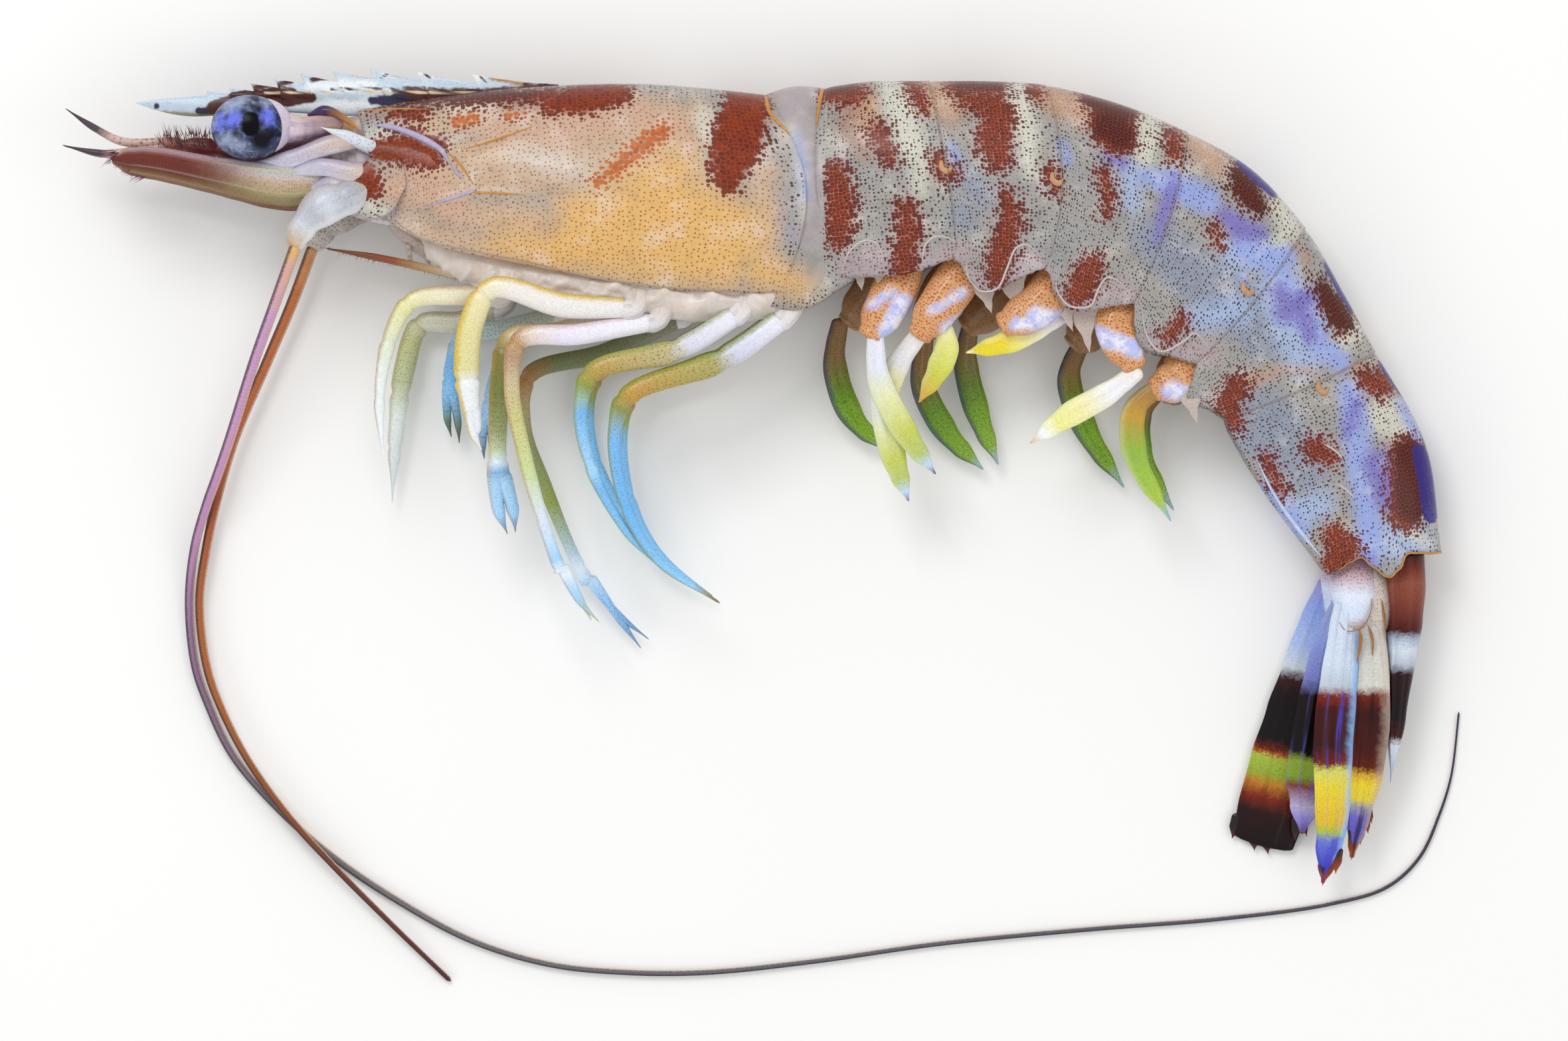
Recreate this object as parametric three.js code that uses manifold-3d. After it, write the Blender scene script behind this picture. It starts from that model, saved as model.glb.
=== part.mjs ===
// A raw kuruma prawn, whole, lying on its right side on a flat surface. Millimetres, +Z up.
// +X runs towards the tail, +Y towards the back of the trunk, and the left side faces up.
import * as THREE from "three";
import { mergeVertices } from "three/addons/utils/BufferGeometryUtils.js";
import Module from "manifold-3d";

const wasm = await Module();
wasm.setup();

// ---- Driving sizes ----
const SEAM = 0.3; // clear space between two neighbouring pieces
const TRUNK_MIDDLE = 7.35; // height of the trunk's middle plane above the surface
const HEAD_RISE = 0.022; // how fast that plane climbs towards the head
const TAIL_FALL = 0.08; // how fast it sinks past the third abdomen segment
const TAIL_FALL_FROM = 28;
const SPREAD = 1.15; // widens every limb's distance from the middle plane
const SHELL_SIDES = 24; // faces round a shell section
const SHELL_STEPS = 5; // rings along one abdomen segment
const WIDEST = 0.4; // height of a shell's widest line, as a share of its depth
const ARCH_SHARE = 6 / 12; // part of the half section that is the arched back
const HEM_SHARE = 9 / 12; // part of the half section that ends at the hem
const CRUMB_SHARE = 0.06; // share of a piece's volume that a cut may leave loose
const FIN_POINT = 0.08; // radius that a pointed end runs out to

// ---- Finishes ----
const finish = (color, roughness) => new THREE.MeshStandardMaterial({ color, roughness, metalness: 0 });
const shellFinish = finish(0xb9a58f, 0.4);
const membraneFinish = finish(0xd9d2cc, 0.35);
const eyeFinish = finish(0x3c4164, 0.2);
const headLimbFinish = finish(0xb08472, 0.4);
const antennaFinish = finish(0x8c5a4a, 0.45);
const legFinish = finish(0xcfd7b8, 0.4);
const swimmeretFinish = finish(0x9aa04a, 0.4);
const tailFinish = finish(0x5a3a30, 0.35);

// ---- Solids ----
const group = new THREE.Group();

// A closed geometry as a solid; its faces are turned outwards if the mapping turned them in.
function toSolid(geometry) {
  geometry.deleteAttribute("normal");
  geometry.deleteAttribute("uv");
  const merged = mergeVertices(geometry, 1e-3);
  const corners = new Uint32Array(merged.index.array);
  const build = () =>
    new wasm.Manifold(
      new wasm.Mesh({ numProp: 3, vertProperties: merged.attributes.position.array, triVerts: corners }),
    );
  const solid = build();
  if (solid.volume() > 0) return solid;
  for (let i = 0; i < corners.length; i += 3) {
    const second = corners[i + 1];
    corners[i + 1] = corners[i + 2];
    corners[i + 2] = second;
  }
  return build();
}

// The largest body of a solid that a cut may have split. Losing more than crumbs is a mistake.
function largest(solid) {
  const kept = solid.decompose().reduce((a, b) => (a.volume() > b.volume() ? a : b));
  if (kept.volume() < (1 - CRUMB_SHARE) * solid.volume()) throw new Error("a cut split the piece in two");
  return kept;
}

function joined(solids) {
  return solids.reduce((a, b) => a.add(b));
}

const underSurface = toSolid(new THREE.BoxGeometry(400, 400, 20).translate(0, 0, -10));

// A named piece, trimmed flat where it touches the surface and cut clear of its neighbours.
function piece(name, solid, material, neighbours = []) {
  const trimmed = neighbours.reduce((a, b) => a.subtract(b), solid.subtract(underSurface));
  let cut;
  try {
    cut = largest(trimmed);
  } catch (error) {
    throw new Error(`${name}: ${error.message}`);
  }
  const made = cut.getMesh();
  const geometry = new THREE.BufferGeometry();
  geometry.setAttribute("position", new THREE.BufferAttribute(made.vertProperties, 3));
  geometry.setIndex(new THREE.BufferAttribute(made.triVerts, 1));
  const mesh = new THREE.Mesh(geometry, material);
  mesh.name = name;
  group.add(mesh);
}

// ---- Curves and profiles ----
const curve = (points) =>
  new THREE.CatmullRomCurve3(points.map(([x, y, z = 0]) => new THREE.Vector3(x, y, z)), false, "centripetal");

// Evenly spaced values as a function of t from 0 to 1.
const graded = (values) => (t) => {
  const at = Math.min(Math.max(t, 0), 1) * (values.length - 1);
  const low = Math.min(Math.floor(at), values.length - 2);
  return THREE.MathUtils.lerp(values[low], values[low + 1], at - low);
};

const middleAt = (x) =>
  TRUNK_MIDDLE + HEAD_RISE * Math.max(-x, 0) - TAIL_FALL * Math.max(x - TAIL_FALL_FROM, 0);

// A cylinder whose rings are moved: place(t, angle, onRing) gives a vertex, t from 0 to 1 along it.
function swept(sides, steps, place) {
  const geometry = new THREE.CylinderGeometry(1, 1, 1, sides, steps);
  const position = geometry.attributes.position;
  for (let i = 0; i < position.count; i++) {
    const onRing = Math.hypot(position.getX(i), position.getZ(i)) > 0.5;
    const angle = Math.atan2(position.getX(i), position.getZ(i));
    const point = place(0.5 - position.getY(i), angle, onRing);
    position.setXYZ(i, point.x, point.y, point.z);
  }
  return toSolid(geometry);
}

// Half of a shell's section: [height as a share of the depth, reach as a share of the half width].
// It is an arched back, a straight flank down to the hem, and a shallow roof under the belly.
function shellSection(share, hemDrop) {
  if (share <= ARCH_SHARE) {
    const a = (share / ARCH_SHARE) * (Math.PI / 2);
    return [WIDEST + (1 - WIDEST) * Math.cos(a), Math.sin(a) ** 0.85];
  }
  if (share <= HEM_SHARE + 1e-6) {
    const k = (share - ARCH_SHARE) / (HEM_SHARE - ARCH_SHARE);
    return [WIDEST - (WIDEST + hemDrop) * k, 1 - 0.18 * k ** 2];
  }
  const k = (share - HEM_SHARE) / (1 - HEM_SHARE);
  return [-hemDrop * (1 - k) ** 3, 0.78 * (1 - k)];
}

// A closed trunk shell between a back line and a belly line. `grow` makes it larger all round.
function trunkShell({ back, belly, halfWidth, middle, hem = () => 0, bulge = () => 0, steps = SHELL_STEPS, grow = 0 }) {
  return swept(SHELL_SIDES, steps, (t, angle, onRing) => {
    const top = back(t);
    const low = belly(t);
    const depth = top.distanceTo(low);
    const up = top.clone().sub(low).normalize();
    const along = new THREE.Vector3(up.y, -up.x, 0);
    const share = Math.abs(angle) / Math.PI;
    let [height, reach] = onRing ? shellSection(share, hem(t) / depth) : [WIDEST, 0];
    const side = onRing ? Math.sign(Math.sin(angle)) * reach * (halfWidth(t) + grow) : 0;
    height = WIDEST + (height - WIDEST) * (1 + (2 * grow) / depth);
    const endGrow = grow * Math.sign(t - 0.5) * (t < 1e-6 || t > 1 - 1e-6 ? 1 : 0);
    return low
      .clone()
      .addScaledVector(up, height * depth)
      .addScaledVector(along, bulge(t, height) + endGrow)
      .setZ(middle(t) + side);
  });
}

// A limb along a curve: half widths across the limb and half thicknesses, graded from root to tip.
// `turn` leans the wide direction out of the plane of the surface.
function limb({ points, wide, thick = wide, sides = 8, steps = (points.length - 1) * 2, turn = 0, grow = 0 }) {
  const spine = curve(points);
  const wideAt = graded(wide);
  const thickAt = graded(thick);
  return swept(sides, steps, (t, angle, onRing) => {
    const centre = spine.getPoint(t);
    const tangent = spine.getTangent(t);
    const across = new THREE.Vector3(tangent.y, -tangent.x, 0).normalize();
    const over = new THREE.Vector3().crossVectors(tangent, across).normalize();
    across.applyAxisAngle(tangent, turn);
    over.applyAxisAngle(tangent, turn);
    if (!onRing) return centre;
    return centre
      .addScaledVector(across, (wideAt(t) + grow) * Math.sin(angle))
      .addScaledVector(over, (thickAt(t) + grow) * Math.cos(angle));
  });
}

// ---- Carapace: head shield with the toothed rostrum along its top ----
const CARAPACE = {
  back: curve([[-40.6, 41.7], [-34, 42.9], [-27, 43.8], [-19.5, 44.3], [-12, 44.4], [-5, 43.9], [0.4, 43.3]]),
  belly: curve([[-37.6, 30.8], [-32.4, 28.4], [-25.5, 27], [-18.5, 25.6], [-11.5, 24.4], [-4.5, 23.9], [2.1, 23.9]]),
  halfWidth: graded([4.8, 6.1, 6.9, 7.4, 7.6, 7.6, 7.3]),
  hem: 0.5, // how far the lower edge hangs past the belly
  rearBulge: 3, // how far the rear edge bows back at mid height
};

function carapaceShell(grow) {
  return trunkShell({
    back: (t) => CARAPACE.back.getPoint(t),
    belly: (t) => CARAPACE.belly.getPoint(t),
    halfWidth: CARAPACE.halfWidth,
    middle: (t) => middleAt(CARAPACE.back.getPoint(t).x),
    hem: () => CARAPACE.hem,
    bulge: (t, height) => CARAPACE.rearBulge * t ** 5 * Math.sin(Math.PI * THREE.MathUtils.clamp(height, 0, 1)),
    steps: 14,
    grow,
  });
}

const ROSTRUM = {
  tip: [-62.9, 42.5],
  underside: [[-60.7, 41.7], [-57.8, 41.15], [-54.9, 41.2], [-49.9, 41.6], [-40.6, 41.2], [-27, 42]],
  rearEnd: [-20.5, 44.4], // where the last tooth's back slope runs out on the shield
  teeth: 9,
  firstTooth: -55.8, // where the foremost tooth's tip stands
  pitch: 2.4, // first step between teeth, growing towards the rear
  pitchGrowth: 0.06,
  tipLine: graded([43.67, 44.5, 45.5, 46.08, 45.4]), // height of the tips, foremost to last
  notch: graded([0.4, 0.8, 1, 0.8]), // how deep the steep front of a tooth is cut
  footSetback: 0.5, // how far behind its tip a tooth's steep front ends
  frontRise: 43.3, // where the top edge meets the foremost tooth
  thickness: 1.5, // at the crest's foot
  edgeThickness: 0.45, // along the teeth
};

function rostrumBlade() {
  const tips = [ROSTRUM.firstTooth];
  for (let k = 0; k < ROSTRUM.teeth - 1; k++) tips.push(tips[k] + ROSTRUM.pitch + ROSTRUM.pitchGrowth * k ** 2);
  const outline = new THREE.Shape().moveTo(...ROSTRUM.tip);
  ROSTRUM.underside.forEach(([x, y]) => outline.lineTo(x, y));
  outline.lineTo(...ROSTRUM.rearEnd);
  for (let k = ROSTRUM.teeth - 1; k >= 0; k--) {
    const share = k / (ROSTRUM.teeth - 1);
    outline.lineTo(tips[k], ROSTRUM.tipLine(share));
    outline.lineTo(tips[k] + ROSTRUM.footSetback, ROSTRUM.tipLine(share) - ROSTRUM.notch(share));
  }
  outline.lineTo(tips[0] - 0.3, ROSTRUM.frontRise - 0.1);
  const blade = new THREE.ExtrudeGeometry(outline, { depth: 1, bevelEnabled: false });
  const position = blade.attributes.position;
  const low = ROSTRUM.underside[2][1];
  for (let i = 0; i < position.count; i++) {
    const x = position.getX(i);
    const share = THREE.MathUtils.clamp((position.getY(i) - low) / 4, 0, 1);
    const taper = THREE.MathUtils.clamp((x - ROSTRUM.tip[0]) / 8, 0.25, 1);
    const thickness = THREE.MathUtils.lerp(ROSTRUM.thickness, ROSTRUM.edgeThickness, share) * taper;
    position.setZ(i, middleAt(x) + (position.getZ(i) - 0.5) * thickness);
  }
  return toSolid(blade);
}

// The spine that points forward beside each eye stalk, from the front edge of the shield.
function cheekSpine(side) {
  const reach = (x, out) => middleAt(x) + side * out * SPREAD;
  return limb({
    points: [[-38.5, 38.2, reach(-38.5, 3.6)], [-41.5, 39.2, reach(-41.5, 3.7)], [-44.4, 40, reach(-44.4, 3.6)]],
    wide: [0.9, 0.6, FIN_POINT],
    thick: [0.6, 0.4, FIN_POINT],
    sides: 6,
  });
}

const carapaceGrown = carapaceShell(SEAM);
piece("carapace", joined([carapaceShell(0), rostrumBlade(), cheekSpine(1), cheekSpine(-1)]), shellFinish);

// ---- Abdomen: six segments, each an arched shell with a flap down each side ----
const BACK_LINE = curve([
  [5.8, 44], [11.1, 44.7], [16.6, 44.7], [22.4, 44.7], [28.2, 44.3], [36.1, 42.3], [42.5, 39.6],
  [49, 35.9], [54.4, 30], [58.4, 23.3], [61.5, 17.6], [66.6, 8.3], [68.2, -2.5],
]);
const BELLY_LINE = curve([
  [6.5, 25.6], [12.5, 26.8], [19.4, 27], [23.8, 26.9], [28.4, 26], [32.6, 24.8], [37.2, 22.8],
  [40.5, 20], [43.6, 16.6], [45.1, 13.8], [46.5, 10.9], [51.4, 3.1], [56.7, -4.7],
]);
const ABDOMEN = {
  segments: 6,
  halfWidth: graded([7.1, 7.4, 7.5, 7.1, 6.2, 5.3, 4.2]), // at each joint
  middle: graded([7.1, 7.25, 7.35, 6.95, 6.1, 5.2, 4.15]),
  flapDrop: [2.3, 3.5, 3.6, 3.4, 2.9, 0.7], // side flap below the belly, for each segment
  flapLean: [0.45, 0.4, 0.45, 0.5, 0.5, 0.5], // where along the segment the flap hangs lowest
  jointShare: 0.016, // part of a segment left clear at each joint
};

function abdomenShell(index, grow = 0) {
  const at = (t) => index + ABDOMEN.jointShare + t * (1 - 2 * ABDOMEN.jointShare);
  const share = (t) => at(t) / ABDOMEN.segments;
  const lean = Math.log(0.5) / Math.log(ABDOMEN.flapLean[index]);
  return trunkShell({
    back: (t) => BACK_LINE.getPoint(share(t)),
    belly: (t) => BELLY_LINE.getPoint(share(t)),
    halfWidth: (t) => ABDOMEN.halfWidth(share(t)) * (0.97 + 0.03 * t),
    middle: (t) => ABDOMEN.middle(share(t)),
    hem: (t) => 0.2 + ABDOMEN.flapDrop[index] * Math.sin(Math.PI * t ** lean) ** 0.7,
    grow,
  });
}

for (let i = 0; i < ABDOMEN.segments; i++) piece(`abdomen_${i + 1}`, abdomenShell(i), shellFinish);
const abdomenGrown = Array.from({ length: ABDOMEN.segments }, (_, i) => abdomenShell(i, SEAM));

// ---- Soft skin of the neck and the underside of the thorax ----
function neckSkin(grow) {
  const back = curve([[-2, 42.6], [3.2, 44.1], [8, 43.7]]);
  const belly = curve([[-2, 23], [3.4, 21.6], [9, 24.6]]);
  return trunkShell({
    back: (t) => back.getPoint(t),
    belly: (t) => belly.getPoint(t),
    halfWidth: graded([6.7, 7, 6.5]),
    middle: () => TRUNK_MIDDLE - 0.1,
    steps: 3,
    grow,
  });
}

function thoraxFloor(grow) {
  const back = curve([[-35, 31], [-28, 29], [-20, 27.5], [-10, 26], [1, 26]]);
  const belly = curve([[-33.6, 26.6], [-28, 23.6], [-19, 22], [-8, 20.7], [2.6, 21]]);
  return trunkShell({
    back: (t) => back.getPoint(t),
    belly: (t) => belly.getPoint(t),
    halfWidth: graded([3, 4.2, 5.4, 5.8, 5.4]),
    middle: (t) => middleAt(back.getPoint(t).x),
    steps: 5,
    grow,
  });
}

const neckGrown = neckSkin(SEAM);
const thoraxGrown = thoraxFloor(SEAM);
piece("neck_skin", neckSkin(0), membraneFinish, [carapaceGrown, abdomenGrown[0]]);
piece("thorax_floor", thoraxFloor(0), membraneFinish, [carapaceGrown, neckGrown]);

// ---- Head: eyes, feelers and mouth, each pair left (up) and right (down) ----
const SIDES = { left: 1, right: -1 };
const aside = (side, points) => points.map(([x, y, out]) => [x, y, middleAt(x) + side * out * SPREAD]);

const HEAD = { back: [[-45, 39], [-41.6, 41], [-36, 41.4]], belly: [[-43.2, 32], [-39.4, 30.6], [-35, 29.8]] };

function headCore(grow) {
  const back = curve(HEAD.back);
  const belly = curve(HEAD.belly);
  return trunkShell({
    back: (t) => back.getPoint(t),
    belly: (t) => belly.getPoint(t),
    halfWidth: graded([2.2, 3.5, 4.2]),
    middle: (t) => middleAt(back.getPoint(t).x),
    steps: 3,
    grow,
  });
}

const EYE = { x: -51.3, y: 39.9, out: 4.05, radii: [3.85, 3.25, 3.2] };

function eyeball(side, grow) {
  const ball = new THREE.SphereGeometry(1, 14, 10);
  ball.scale(EYE.radii[0] + grow, EYE.radii[1] + grow, EYE.radii[2] + grow);
  return toSolid(ball.translate(EYE.x, EYE.y, middleAt(EYE.x) + side * EYE.out * SPREAD));
}

function eyeStalk(side, grow) {
  return limb({
    points: aside(side, [[-50, 39.8, 4], [-46, 40.2, 3.6], [-42.5, 40.2, 2.6]]),
    wide: [2.3, 1.7, 1.3],
    thick: [2.2, 1.5, 0.8],
    sides: 8,
    steps: 2,
    grow,
  });
}

function antennalScale(side, grow) {
  return limb({
    points: aside(side, [[-65.1, 36.7, 3.1], [-61, 36.4, 3.3], [-54, 35, 3.6], [-48, 34, 3.7], [-42, 34.3, 3.4]]),
    wide: [1.4, 1.6, 1.75, 2.2, 2],
    thick: [0.15, 0.35, 0.5, 0.6, 0.6],
    sides: 8,
    steps: 7,
    grow,
  });
}

// The two antenna bases hang a little apart, the right one lower and further back.
const ANTENNA_BASE = {
  left: [[-39.6, 34.4, 4.1], [-41.6, 32.8, 4.8], [-44, 31.9, 5], [-45.9, 30, 4.9], [-46.9, 27.8, 4.7]],
  right: [[-39, 33.6, 3.8], [-40.8, 32.2, 4.4], [-42.8, 31.4, 4.6], [-44.4, 29.8, 4.6], [-45.4, 27.8, 4.6]],
};

function antennaBase(side, grow) {
  return limb({
    points: aside(side, side > 0 ? ANTENNA_BASE.left : ANTENNA_BASE.right),
    wide: [2, 1.7, 1.75, 1.4, 0.95],
    thick: [1.3, 1.3, 1.5, 1.2, 0.8],
    sides: 8,
    steps: 6,
    grow,
  });
}

const ANTENNULE_ROOT = [[-43.5, 38.2, 0.95], [-50, 37.3, 0.95], [-55.5, 37.9, 0.95], [-60.4, 38.4, 1]];

function antennule(side) {
  const stem = limb({
    points: aside(side, ANTENNULE_ROOT),
    wide: [1.2, 1.1, 1, 0.75],
    thick: [0.75, 0.75, 0.7, 0.6],
    sides: 6,
    steps: 4,
  });
  const upper = limb({
    points: aside(side, [[-59.6, 38.5, 1], [-64.2, 38.6, 1.1], [-66.9, 39.9, 1.1], [-69.9, 41.9, 1.1]]),
    wide: [0.5, 0.42, 0.38, FIN_POINT],
    sides: 5,
    steps: 4,
  });
  const lower = limb({
    points: aside(side, [[-59.6, 38.1, 1], [-63.7, 37.5, 1.3], [-66.4, 37.4, 1.4], [-70.3, 38.2, 1.4]]),
    wide: [0.5, 0.42, 0.38, FIN_POINT],
    sides: 5,
    steps: 4,
  });
  return joined([stem, upper, lower]);
}

const headGrown = headCore(SEAM);
piece("head_core", headCore(0), membraneFinish, [carapaceGrown]);

for (const [name, side] of Object.entries(SIDES)) {
  const eye = joined([eyeball(side, SEAM), eyeStalk(side, SEAM)]);
  const trunk = [carapaceGrown, headGrown, cheekSpine(side)];
  piece(`eye_${name}`, joined([eyeball(side, 0), eyeStalk(side, 0)]), eyeFinish, trunk);
  piece(`antennule_${name}`, antennule(side), headLimbFinish, [...trunk, eye]);
  piece(`antennal_scale_${name}`, antennalScale(side, 0), headLimbFinish, [...trunk, eye, antennaBase(side, SEAM)]);
  piece(`antenna_base_${name}`, antennaBase(side, 0), headLimbFinish, [...trunk, eye]);
}

// The long feelers. The left one comes down to the surface and sweeps round below the legs and the
// tail. The broken right one is short: it runs beside the left one and crosses over it.
const FEELERS = {
  left: {
    points: [
      [-46.6, 28.2, 14], [-48.7, 22.6, 12], [-51, 16.5, 9.4], [-53.6, 8.7, 6.4], [-54.9, 5.1, 4.9], [-56, 2.2, 3.6],
      [-57.3, -2.2, 2], [-57.9, -7.7, 0.75], [-57.3, -14, 0.58], [-56, -17.9, 0.56], [-53.5, -23.1, 0.54],
      [-48.7, -28.7, 0.52], [-43.6, -33.2, 0.5], [-37.3, -37.5, 0.48], [-29.4, -41.8, 0.45], [-21.5, -44.2, 0.43],
      [-13.7, -45, 0.4], [-5.8, -45, 0.38], [5, -43.9, 0.35], [17.8, -42.1, 0.33], [33.5, -40.6, 0.3],
      [46.1, -39.6, 0.28], [57.2, -38.1, 0.26], [62.9, -36.4, 0.24], [66.2, -33.4, 0.22], [68.2, -29.1, 0.2],
      [69.4, -25.2, 0.18], [70.2, -18.7, 0.15],
    ],
    radius: [0.62, 0.52, 0.44, 0.37, 0.3, 0.25, 0.2, 0.13],
    steps: 50,
  },
  right: {
    points: [
      [-45.3, 28.2, 3.3], [-47.4, 22.6, 2.8], [-50, 16.5, 2.5], [-53.3, 8.7, 2.2], [-55.1, 2.5, 2], [-56.1, -2.2, 1.9],
      [-56.8, -7.7, 1.8], [-56.1, -14, 1.75], [-54.8, -17.9, 1.7], [-52.2, -23.1, 1.7], [-48.1, -28.9, 1.7],
      [-43.6, -33.9, 1.65], [-37.5, -40.1, 0.9], [-31.5, -45.9, 0.32],
    ],
    radius: [0.62, 0.52, 0.45, 0.38, 0.27],
    steps: 24,
  },
};

for (const [name, feeler] of Object.entries(FEELERS)) {
  const tube = limb({ points: feeler.points, wide: feeler.radius, sides: 5, steps: feeler.steps });
  piece(`antenna_${name}`, tube, antennaFinish, [antennaBase(SIDES[name], SEAM)]);
}

// ---- Mouth: the chewing parts under the head, with a thin feeler rod each side ----
function mouthparts(grow) {
  const body = limb({
    points: aside(1, [[-37.4, 30.6, 0], [-34.4, 28.4, 0], [-30.6, 26, 0]]),
    wide: [0.8, 1.1, 0.8],
    thick: [2.6, 2.8, 2.4],
    sides: 8,
    steps: 2,
    grow,
  });
  const spines = [[-35.6, 27.5, -35, 25.7], [-33.9, 27, -33.3, 26.2]].map(([x, y, tipX, tipY]) =>
    limb({
      points: aside(1, [[x, y + 1, 1.6], [(x + tipX) / 2, (y + tipY) / 2, 1.6], [tipX, tipY, 1.6]]),
      wide: [0.35, 0.25, FIN_POINT],
      sides: 4,
      steps: 1,
      grow,
    }),
  );
  return joined([body, ...spines]);
}

const mouthGrown = mouthparts(SEAM);
const chest = [carapaceGrown, thoraxGrown, neckGrown, mouthGrown, headGrown];
piece("mouthparts", mouthparts(0), membraneFinish, [carapaceGrown, thoraxGrown, headGrown]);

for (const [name, side] of Object.entries(SIDES)) {
  const rod = limb({
    points: aside(side, [[-30.5, 25.1, 2.2], [-34.6, 26.1, 2.4], [-38.3, 26.9, 2.5], [-43.9, 27.9, 2.5]]),
    wide: [0.42, 0.38, 0.34, FIN_POINT],
    sides: 5,
    steps: 4,
  });
  piece(`palp_${name}`, rod, headLimbFinish, chest);
}

// ---- Legs: [x, y, distance out from the middle plane] from the body to the tip ----
// Pincer legs end in two fingers: `claw` holds their tips.
const LEGS = {
  maxilliped_left: {
    points: [[-26.5, 22.9, 3.2], [-30.5, 23.1, 4.2], [-35.1, 22.5, 4.8], [-37.2, 19, 4.8], [-38.3, 13, 4.6], [-37.9, 6.3, 4.2]],
    wide: [0.95, 1.05, 0.95, 0.85, 0.6, 0.2],
  },
  maxilliped_right: {
    points: [[-26.5, 22, -3.4], [-30.5, 20.6, -4.6], [-34.5, 20.3, -4.8], [-36.1, 16, -4.8], [-37, 9.3, -5], [-37.4, 2.3, -5.4]],
    wide: [1, 1.2, 1.1, 1, 0.8, 0.25],
  },
  leg_1_left: {
    points: [[-13.4, 21.8, 5.4], [-20, 22.1, 6], [-27, 23.8, 6], [-29, 20.6, 5.4], [-29.6, 15.6, 4.6], [-29.4, 12.2, 4.3]],
    wide: [1, 1.3, 1.1, 1.35, 1.35, 1.05],
    claw: [[-28.1, 7.6, 3.9], [-28.9, 8.6, 3.9]],
  },
  leg_1_right: {
    points: [[-20.5, 21.4, -2], [-25.5, 20, -2.2], [-30.2, 19, -2.8], [-31.3, 16.4, -3.4], [-31.6, 13.2, -4]],
    wide: [0.95, 1.05, 0.95, 0.75, 0.8],
    claw: [[-31.4, 9, -4.8], [-30.6, 8.4, -4.8]],
  },
  leg_2_left: {
    points: [[-14.4, 21.4, 2.6], [-20.4, 19.5, 2.8], [-25.3, 18.7, 2.9], [-26.2, 15, 2.6], [-26.6, 7.9, 1.8], [-26.5, 4.6, 1.4]],
    wide: [0.9, 1.1, 1.1, 1.15, 0.95, 1.3],
    claw: [[-25.6, -0.8, 1], [-24.8, -0.6, 1]],
  },
  leg_2_right: {
    points: [[-16.6, 21.4, -3.2], [-21.5, 19.8, -4.2], [-25.4, 18, -4.4], [-27, 14.6, -4.7], [-27.8, 10.6, -5]],
    wide: [0.9, 1, 1, 0.8, 0.8],
    claw: [[-28.1, 6.8, -5.2], [-27.5, 7.2, -5.2]],
  },
  leg_3_left: {
    points: [
      [-11, 20.5, 4.6], [-18.4, 19.2, 6], [-24.2, 18.6, 5.9], [-25.1, 14.4, 5.3], [-23.8, 7, 4.2], [-21.5, -1.1, 3],
      [-20.2, -4.7, 2.6],
    ],
    wide: [1.05, 1.1, 1, 0.8, 0.8, 0.65, 0.75],
    claw: [[-16.4, -9.6, 1.8], [-17.2, -9.4, 1.8]],
  },
  leg_3_right: {
    points: [
      [-8.2, 21, -2], [-15.9, 17.5, -2.4], [-23.5, 15.2, -2.8], [-24, 10, -3.4], [-22, 4.2, -4], [-19.5, -2, -4.4],
      [-17.6, -5.9, -4.7],
    ],
    wide: [1, 1, 0.95, 0.75, 0.75, 0.65, 0.75],
    claw: [[-11.5, -11.4, -5.2], [-12.3, -12.3, -5.2]],
  },
  leg_4_left: {
    points: [
      [-2.6, 21.2, 4.6], [-8.4, 17.7, 5.6], [-16.9, 15.4, 6], [-18.2, 11.9, 5.2], [-17.3, 6.2, 4], [-13.8, -0.3, 2.7],
      [-10.3, -4.1, 1.8],
    ],
    wide: [1.15, 1.2, 1.05, 0.75, 0.65, 0.5, 0.14],
  },
  leg_4_right: {
    points: [
      [-3, 21.4, -3.4], [-8.6, 18.1, -4.4], [-16.4, 15.6, -4.6], [-17.6, 11.9, -4.8], [-16.7, 6.2, -5], [-13.1, 0, -5.2],
      [-10.2, -3.7, -5.4],
    ],
    wide: [1, 1, 0.9, 0.65, 0.6, 0.5, 0.14],
  },
  leg_5_left: {
    points: [
      [2, 20.8, 4.2], [-3.9, 16.7, 5], [-13.4, 13.1, 5.6], [-14.8, 9.5, 4.8], [-13.9, 2.6, 3.6], [-10.6, -3.3, 2.6],
      [-4.3, -7.7, 1.6],
    ],
    wide: [1.15, 1.2, 1.05, 0.75, 0.65, 0.5, 0.14],
  },
  leg_5_right: {
    points: [
      [1.4, 20.9, -2.6], [-4.2, 17.2, -2.8], [-13, 13.3, -3], [-14.2, 9.6, -3.2], [-13.4, 2.8, -3.5], [-10.4, -2.9, -3.9],
      [-5, -7.2, -5],
    ],
    wide: [1, 1, 0.9, 0.65, 0.6, 0.5, 0.14],
  },
};
const LEG_DEPTH = 0.72; // a leg's thickness as a share of its width

function leg({ points, wide, claw = [] }) {
  const placed = aside(1, points);
  const thick = wide.map((w) => w * LEG_DEPTH);
  const shaft = limb({ points: placed, wide, thick, sides: 6 });
  const palm = points[points.length - 1];
  const palmWide = wide[wide.length - 1];
  const fingers = claw.map((tip, k) => {
    const offset = (k ? 0.42 : -0.42) * palmWide;
    const knuckle = [(palm[0] + tip[0]) / 2 + offset, (palm[1] + tip[1]) / 2, (palm[2] + tip[2]) / 2];
    return limb({
      points: aside(1, [[palm[0] + offset, palm[1] + 0.4, palm[2]], knuckle, tip]),
      wide: [palmWide * 0.55, palmWide * 0.42, FIN_POINT],
      sides: 5,
      steps: 2,
    });
  });
  return joined([shaft, ...fingers]);
}

for (const [name, spec] of Object.entries(LEGS)) piece(name, leg(spec), legFinish, chest);

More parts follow.
